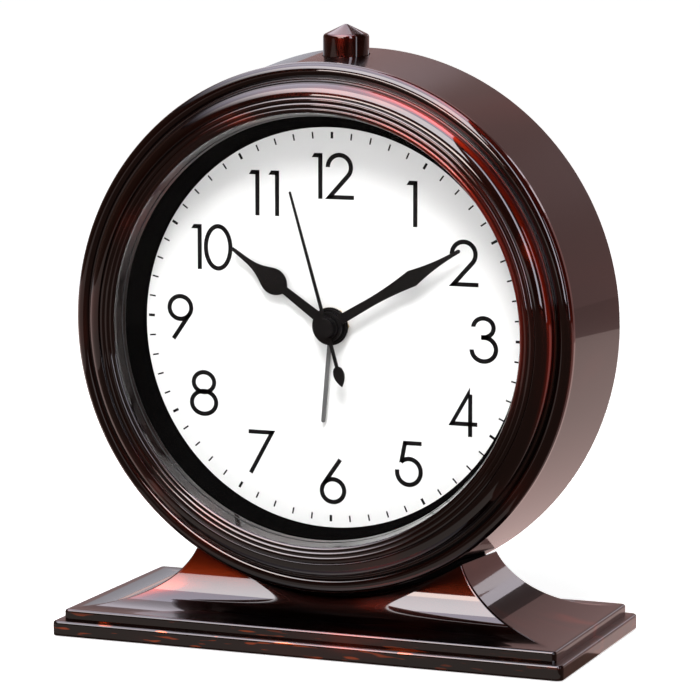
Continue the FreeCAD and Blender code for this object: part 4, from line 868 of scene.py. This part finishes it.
def makeSpring(size):
    # a round wire carried along a helix that climbs evenly, and closed at both ends
    share = np.linspace(0, 1, size["steps"])[:, None]
    angle = 2 * math.pi * size["turns"] * share
    out = np.concatenate([np.sin(angle), np.cos(angle), 0 * angle], 1)
    middle = size["radius"] * out + [0, 0, size["foot"]] + share * [0, 0, size["rise"]]
    climb = size["rise"] / (2 * math.pi * size["turns"] * size["radius"])
    ahead = np.concatenate([np.cos(angle), -np.sin(angle), climb + 0 * angle], 1)
    up = np.cross(out, ahead / math.hypot(1, climb))
    swing = np.linspace(0, 2 * math.pi, size["sides"], endpoint=False)[None, :, None]
    tube = middle[:, None] + size["wire"] * (np.cos(swing) * out[:, None]
                                             + np.sin(swing) * up[:, None])
    ends = [np.repeat(middle[row][None, None], size["sides"], 1) for row in (0, -1)]
    tube = np.concatenate([ends[0], tube, ends[1]])
    coil = makePiece("return_spring", tube.reshape(-1, 3),
                     gridFaces(len(tube), size["sides"], False, True), "spring",
                     stands=["button_spring"])
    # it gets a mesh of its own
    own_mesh(coil)


makeSpring(spring)
print("spring made")


# Reflector ring and glass

reflector = {"front": -20.5, "dial": -10.1, "mouth": 59.1, "opening": 56.4, "flange": 63.3,
             # the hidden outside, from the flange to the seat on the dial
             "outside": [(63.3, -19.4), (61.6, -19.4), (60.4, -18.4), (58.6, -12.1),
                         (61.1, -11.7), (61.1, -9.1), (59.7, -9.1)], "seat": 59.7,
             "offset": (-0.9, -1.0),  # the dial's opening sits a little low and left
             "soften": 0.1, "steps": 256, "sharp": 35}
lens = {"radius": 60.5, "front": -23.85, "back": -22.25, "soften": 0.15, "steps": 192,
        "sharp": 30}


def makeRing(size):
    # a cone from the mouth down to the dial's opening, its outline carried round the axis
    mouth, opening, front, dial = size["mouth"], size["opening"], size["front"], size["dial"]
    path = softProfile([(mouth, front), (size["flange"], front), *size["outside"],
                        (size["seat"], dial), (opening, dial)], size["soften"])
    points, faces = turnedPoints(path, size["steps"])
    # the visible cone leans: all of the offset at the dial, none at the mouth
    inner = np.hypot(points[:, 0], points[:, 2] - axisHeight) < mouth + 0.02
    lean = np.clip((points[:, 1] - front) / (dial - front), 0, 1) * inner
    points[:, 0] += lean * size["offset"][0]
    points[:, 2] += lean * size["offset"][1]
    makePiece("black_reflector", points, faces, "ringBlack",
              stands=["reflector_ring"], sharp=size["sharp"])


def makeGlass(size):
    # a flat disc with eased edges, its outline carried round the axis
    radius, front, back = size["radius"], size["front"], size["back"]
    path = softProfile([(0, front), (radius, front), (radius, back), (0, back)], size["soften"])
    path[:, 0] = np.maximum(path[:, 0], 0)
    points, faces = turnedPoints(path, size["steps"])
    makePiece("flat_glass", points, faces, "glass", stands=["glass_lens"],
              sharp=size["sharp"])


makeRing(reflector)
makeGlass(lens)
print("reflector and glass made")


# Dial print: light geometric numerals and sixty minute marks

dialPrint = {
    "front": -10.13, "back": -10.09, "sharp": 30,
    # widths of curved and upright strokes and of level bars, and how far round digits reach over
    "stroke": 1.28, "bar": 1.2, "height": 12.8, "over": 0.22,
    # labels of two digits: the second digit, and how far to the right it stands
    "secondDigit": {"10": [("0", 5.7)], "11": [("1", 6.0)], "12": [("2", 5.7)]},
    "markLength": 1.85, "markWidth": 0.46, "hourMarkWidth": 0.76,
    "centres": {"12": (0.0, 41.9), "1": (23.5, 34.9), "2": (38.7, 19.1), "3": (44.7, -1.9),
                "4": (38.7, -22.2), "5": (22.8, -37.9), "6": (0.0, -44.2), "7": (-21.7, -37.3),
                "8": (-39.6, -21.3), "9": (-46.8, 0.2), "10": (-36.9, 20.6),
                "11": (-20.8, 36.5)},
    # the ring of marks: its centre, and how far it reaches to 3 o'clock and to 12 o'clock
    "markCentre": (-0.45, -0.8), "markAcross": (55.3, -1.2), "markUp": (0.2, 54.05),
}


def bow(centre, radii, start, stop, steps=56):
    # part of an ellipse between two angles in degrees
    turn = np.radians(np.linspace(start, stop, steps))
    return np.stack([centre[0] + radii[0] * np.cos(turn), centre[1] + radii[1] * np.sin(turn)], 1)


def stroke(path, width, startCut=None, endCut=None, closed=False):
    # the two edges of a strip along a path, mitred at its bends, its ends cut along given lines
    path = np.asarray(path, float)
    ahead = np.roll(path, -1, 0) - path
    ahead[-1] = ahead[-1] if closed else ahead[-2]
    ahead /= np.linalg.norm(ahead, axis=1)[:, None]
    behind = np.roll(ahead, 1, 0)
    behind[0] = behind[0] if closed else ahead[0]
    middle = ahead + behind
    side = np.stack([-middle[:, 1], middle[:, 0]], 1)
    square = np.stack([-ahead[:, 1], ahead[:, 0]], 1)
    side /= (side * square).sum(1)[:, None]
    for row, line in ((0, startCut), (-1, endCut)):
        if line is not None:
            side[row] = np.array(line) / np.dot(line, square[row])
    return path + side * width / 2, path - side * width / 2


def digits(size):
    # each digit as strokes: (path, width, cut at the start, cut at the end, closed), in mm from
    # its foot; round parts are ellipses
    w, bar, top, over = size["stroke"], size["bar"], size["height"], size["over"]
    level = (1.0, 0.0)
    # an upright with a flag
    shapes = {"1": [([(0, 0), (0, top)], w, None, None, False),
                    ([(0.6, top - 0.62), (-2.215, top - 0.62)], 1.24, None, (0.544, 0.839), False)]}
    # a round head that runs into a slanting leg, and a foot
    centre = top + over - w / 2 - 3.45
    swing = math.radians(42.5)
    run = [(3.45 / math.cos(swing) - centre * math.tan(swing), 0.0)]
    shapes["2"] = [
        (np.concatenate([bow((0, centre), (3.45, 3.45), 180, -42.5), run]), w, level, level, False),
        ([(run[0][0] - w / 2 / math.cos(swing) + bar / 2 * math.tan(swing), bar / 2),
          (4.38, bar / 2)], bar, (math.sin(swing), math.cos(swing)), None, False)]
    # two bowls, the upper one with a short middle bar
    upper = top + over - w / 2 - 2.64
    lower = -over + w / 2 + 3.32
    shapes["3"] = [
        (np.concatenate([bow((0, upper), (2.96, 2.64), 176, -90), [(-0.66, upper - 2.64)]]), w,
         level, None, False),
        (bow((0.15, lower), (3.55, 3.32), 100, -178), w, None, level, False)]
    # an upright, a bar and a slope
    shapes["4"] = [
        ([(-0.61, 0), (-0.61, top - 0.9)], 1.22, None, None, False),
        ([(-6.55, 3.55), (1.49, 3.55)], bar, (0.578, 0.816), None, False),
        ([(-6.32, 3.0), (-0.67, top)], 1.12, level, (0.0, 1.0), False)]
    # a top bar, a short leaning stem and a bowl
    ring = -over + w / 2 + 3.66
    lean = 1.17 / 6.1
    shapes["5"] = [
        ([(0.1, top - bar / 2), (5.5, top - bar / 2)], bar, (lean, 1.0), None, False),
        ([(0.645, top), (0.645 - 1.17, top - 6.1)], 1.27, level, (0.986, 0.168), False),
        (bow((1.72, ring), (3.52, 3.66), 133, -188), w, None, level, False)]
    # a ring with a straight neck, which turned by half a turn makes the nine
    middle = -over + w / 2 + 3.25
    swing = math.radians(146.1)
    start = np.array([3.39 * math.cos(swing), middle + 3.25 * math.sin(swing)])
    shapes["6"] = [
        (bow((0, middle), (3.39, 3.25), 0, 360, 90)[:-1], w, None, None, True),
        ([start, start + np.array([0.574, 0.819]) * (top + over - start[1] - 0.37) / 0.819], w,
         None, None, False)]
    shapes["9"] = [(np.array([0, top]) - np.asarray(path), *rest) for path, *rest in shapes["6"]]
    # a top bar and a leg
    shapes["7"] = [
        ([(0, top - bar / 2), (7.9, top - bar / 2)], bar, None, (6.96, 12.97), False),
        ([(8.22 - 0.5 * 1.22 / math.cos(math.radians(28.2)) - 0.05, top - 0.1),
          (8.22 - 0.69 - 0.54 * top, 0.3)], 1.22, level, None, False)]
    # a small ring on a larger one, and one tall ring for the nought
    shapes["8"] = [
        (bow((0, top + over - w / 2 - 2.86), (3.18, 2.86), 0, 360, 90)[:-1], w, None, None, True),
        (bow((0, -over + w / 2 + 3.27), (3.78, 3.27), 0, 360, 90)[:-1], w, None, None, True)]
    shapes["0"] = [(bow((0, top / 2), (3.78, top / 2 + over - w / 2), 0, 360, 120)[:-1], w, None,
                    None, True)]
    return shapes


def stripMesh(strips, front, back):
    # each strip as a thin closed bar: its two edges, in front and behind
    points, faces, count = [], [], 0
    for (left, right), closed in strips:
        rows = len(left)
        corners = [np.column_stack([edge[:, 0], np.full(rows, depth), axisHeight + edge[:, 1]])
                   for edge, depth in ((left, back), (left, front), (right, front),
                                       (right, back))]
        cells = gridFaces(rows, 4, closed, True)
        if not closed:
            cells = np.concatenate([cells, [[0, 1, 2, 3]], [[rows * 4 - 4 + i for i in range(4)]]])
        points.append(np.stack(corners, axis=1).reshape(-1, 3))
        faces.append(cells + count)
        count += 4 * rows
    return np.concatenate(points), np.concatenate(faces)


def makePrint(size):
    # numerals: the strokes of their digits, moved so that their box lies round its centre
    shapes = digits(size)
    strips = []
    for label, centre in size["centres"].items():
        pair = [(label[0], 0.0), *size["secondDigit"].get(label, [])]
        made = [(np.array(stroke(path, width, start, end, closed)) + [shift, 0], closed)
                for digit, shift in pair for path, width, start, end, closed in shapes[digit]]
        every = np.concatenate([edges.reshape(-1, 2) for edges, closed in made])
        move = np.array(centre) - (every.min(0) + every.max(0)) / 2
        strips += [(edges + move, closed) for edges, closed in made]
    points, faces = stripMesh(strips, size["front"], size["back"])
    makePiece("printed_numerals", points, faces, "ink", sharp=size["sharp"])

    # marks: a short stroke for each minute, along the way out from the centre of the marks
    marks = []
    half = size["markLength"] / 2
    for minute in range(60):
        turn = math.radians(6 * minute)
        reach = (np.array(size["markAcross"]) * math.sin(turn)
                 + np.array(size["markUp"]) * math.cos(turn))
        middle, out = np.array(size["markCentre"]) + reach, reach / np.linalg.norm(reach)
        width = size["hourMarkWidth"] if minute % 5 == 0 else size["markWidth"]
        marks.append((stroke([middle - out * half, middle + out * half], width), False))
    points, faces = stripMesh(marks, size["front"], size["back"])
    makePiece("printed_minute_marks", points, faces, "ink", sharp=size["sharp"])


makePrint(dialPrint)
print("dial printed")
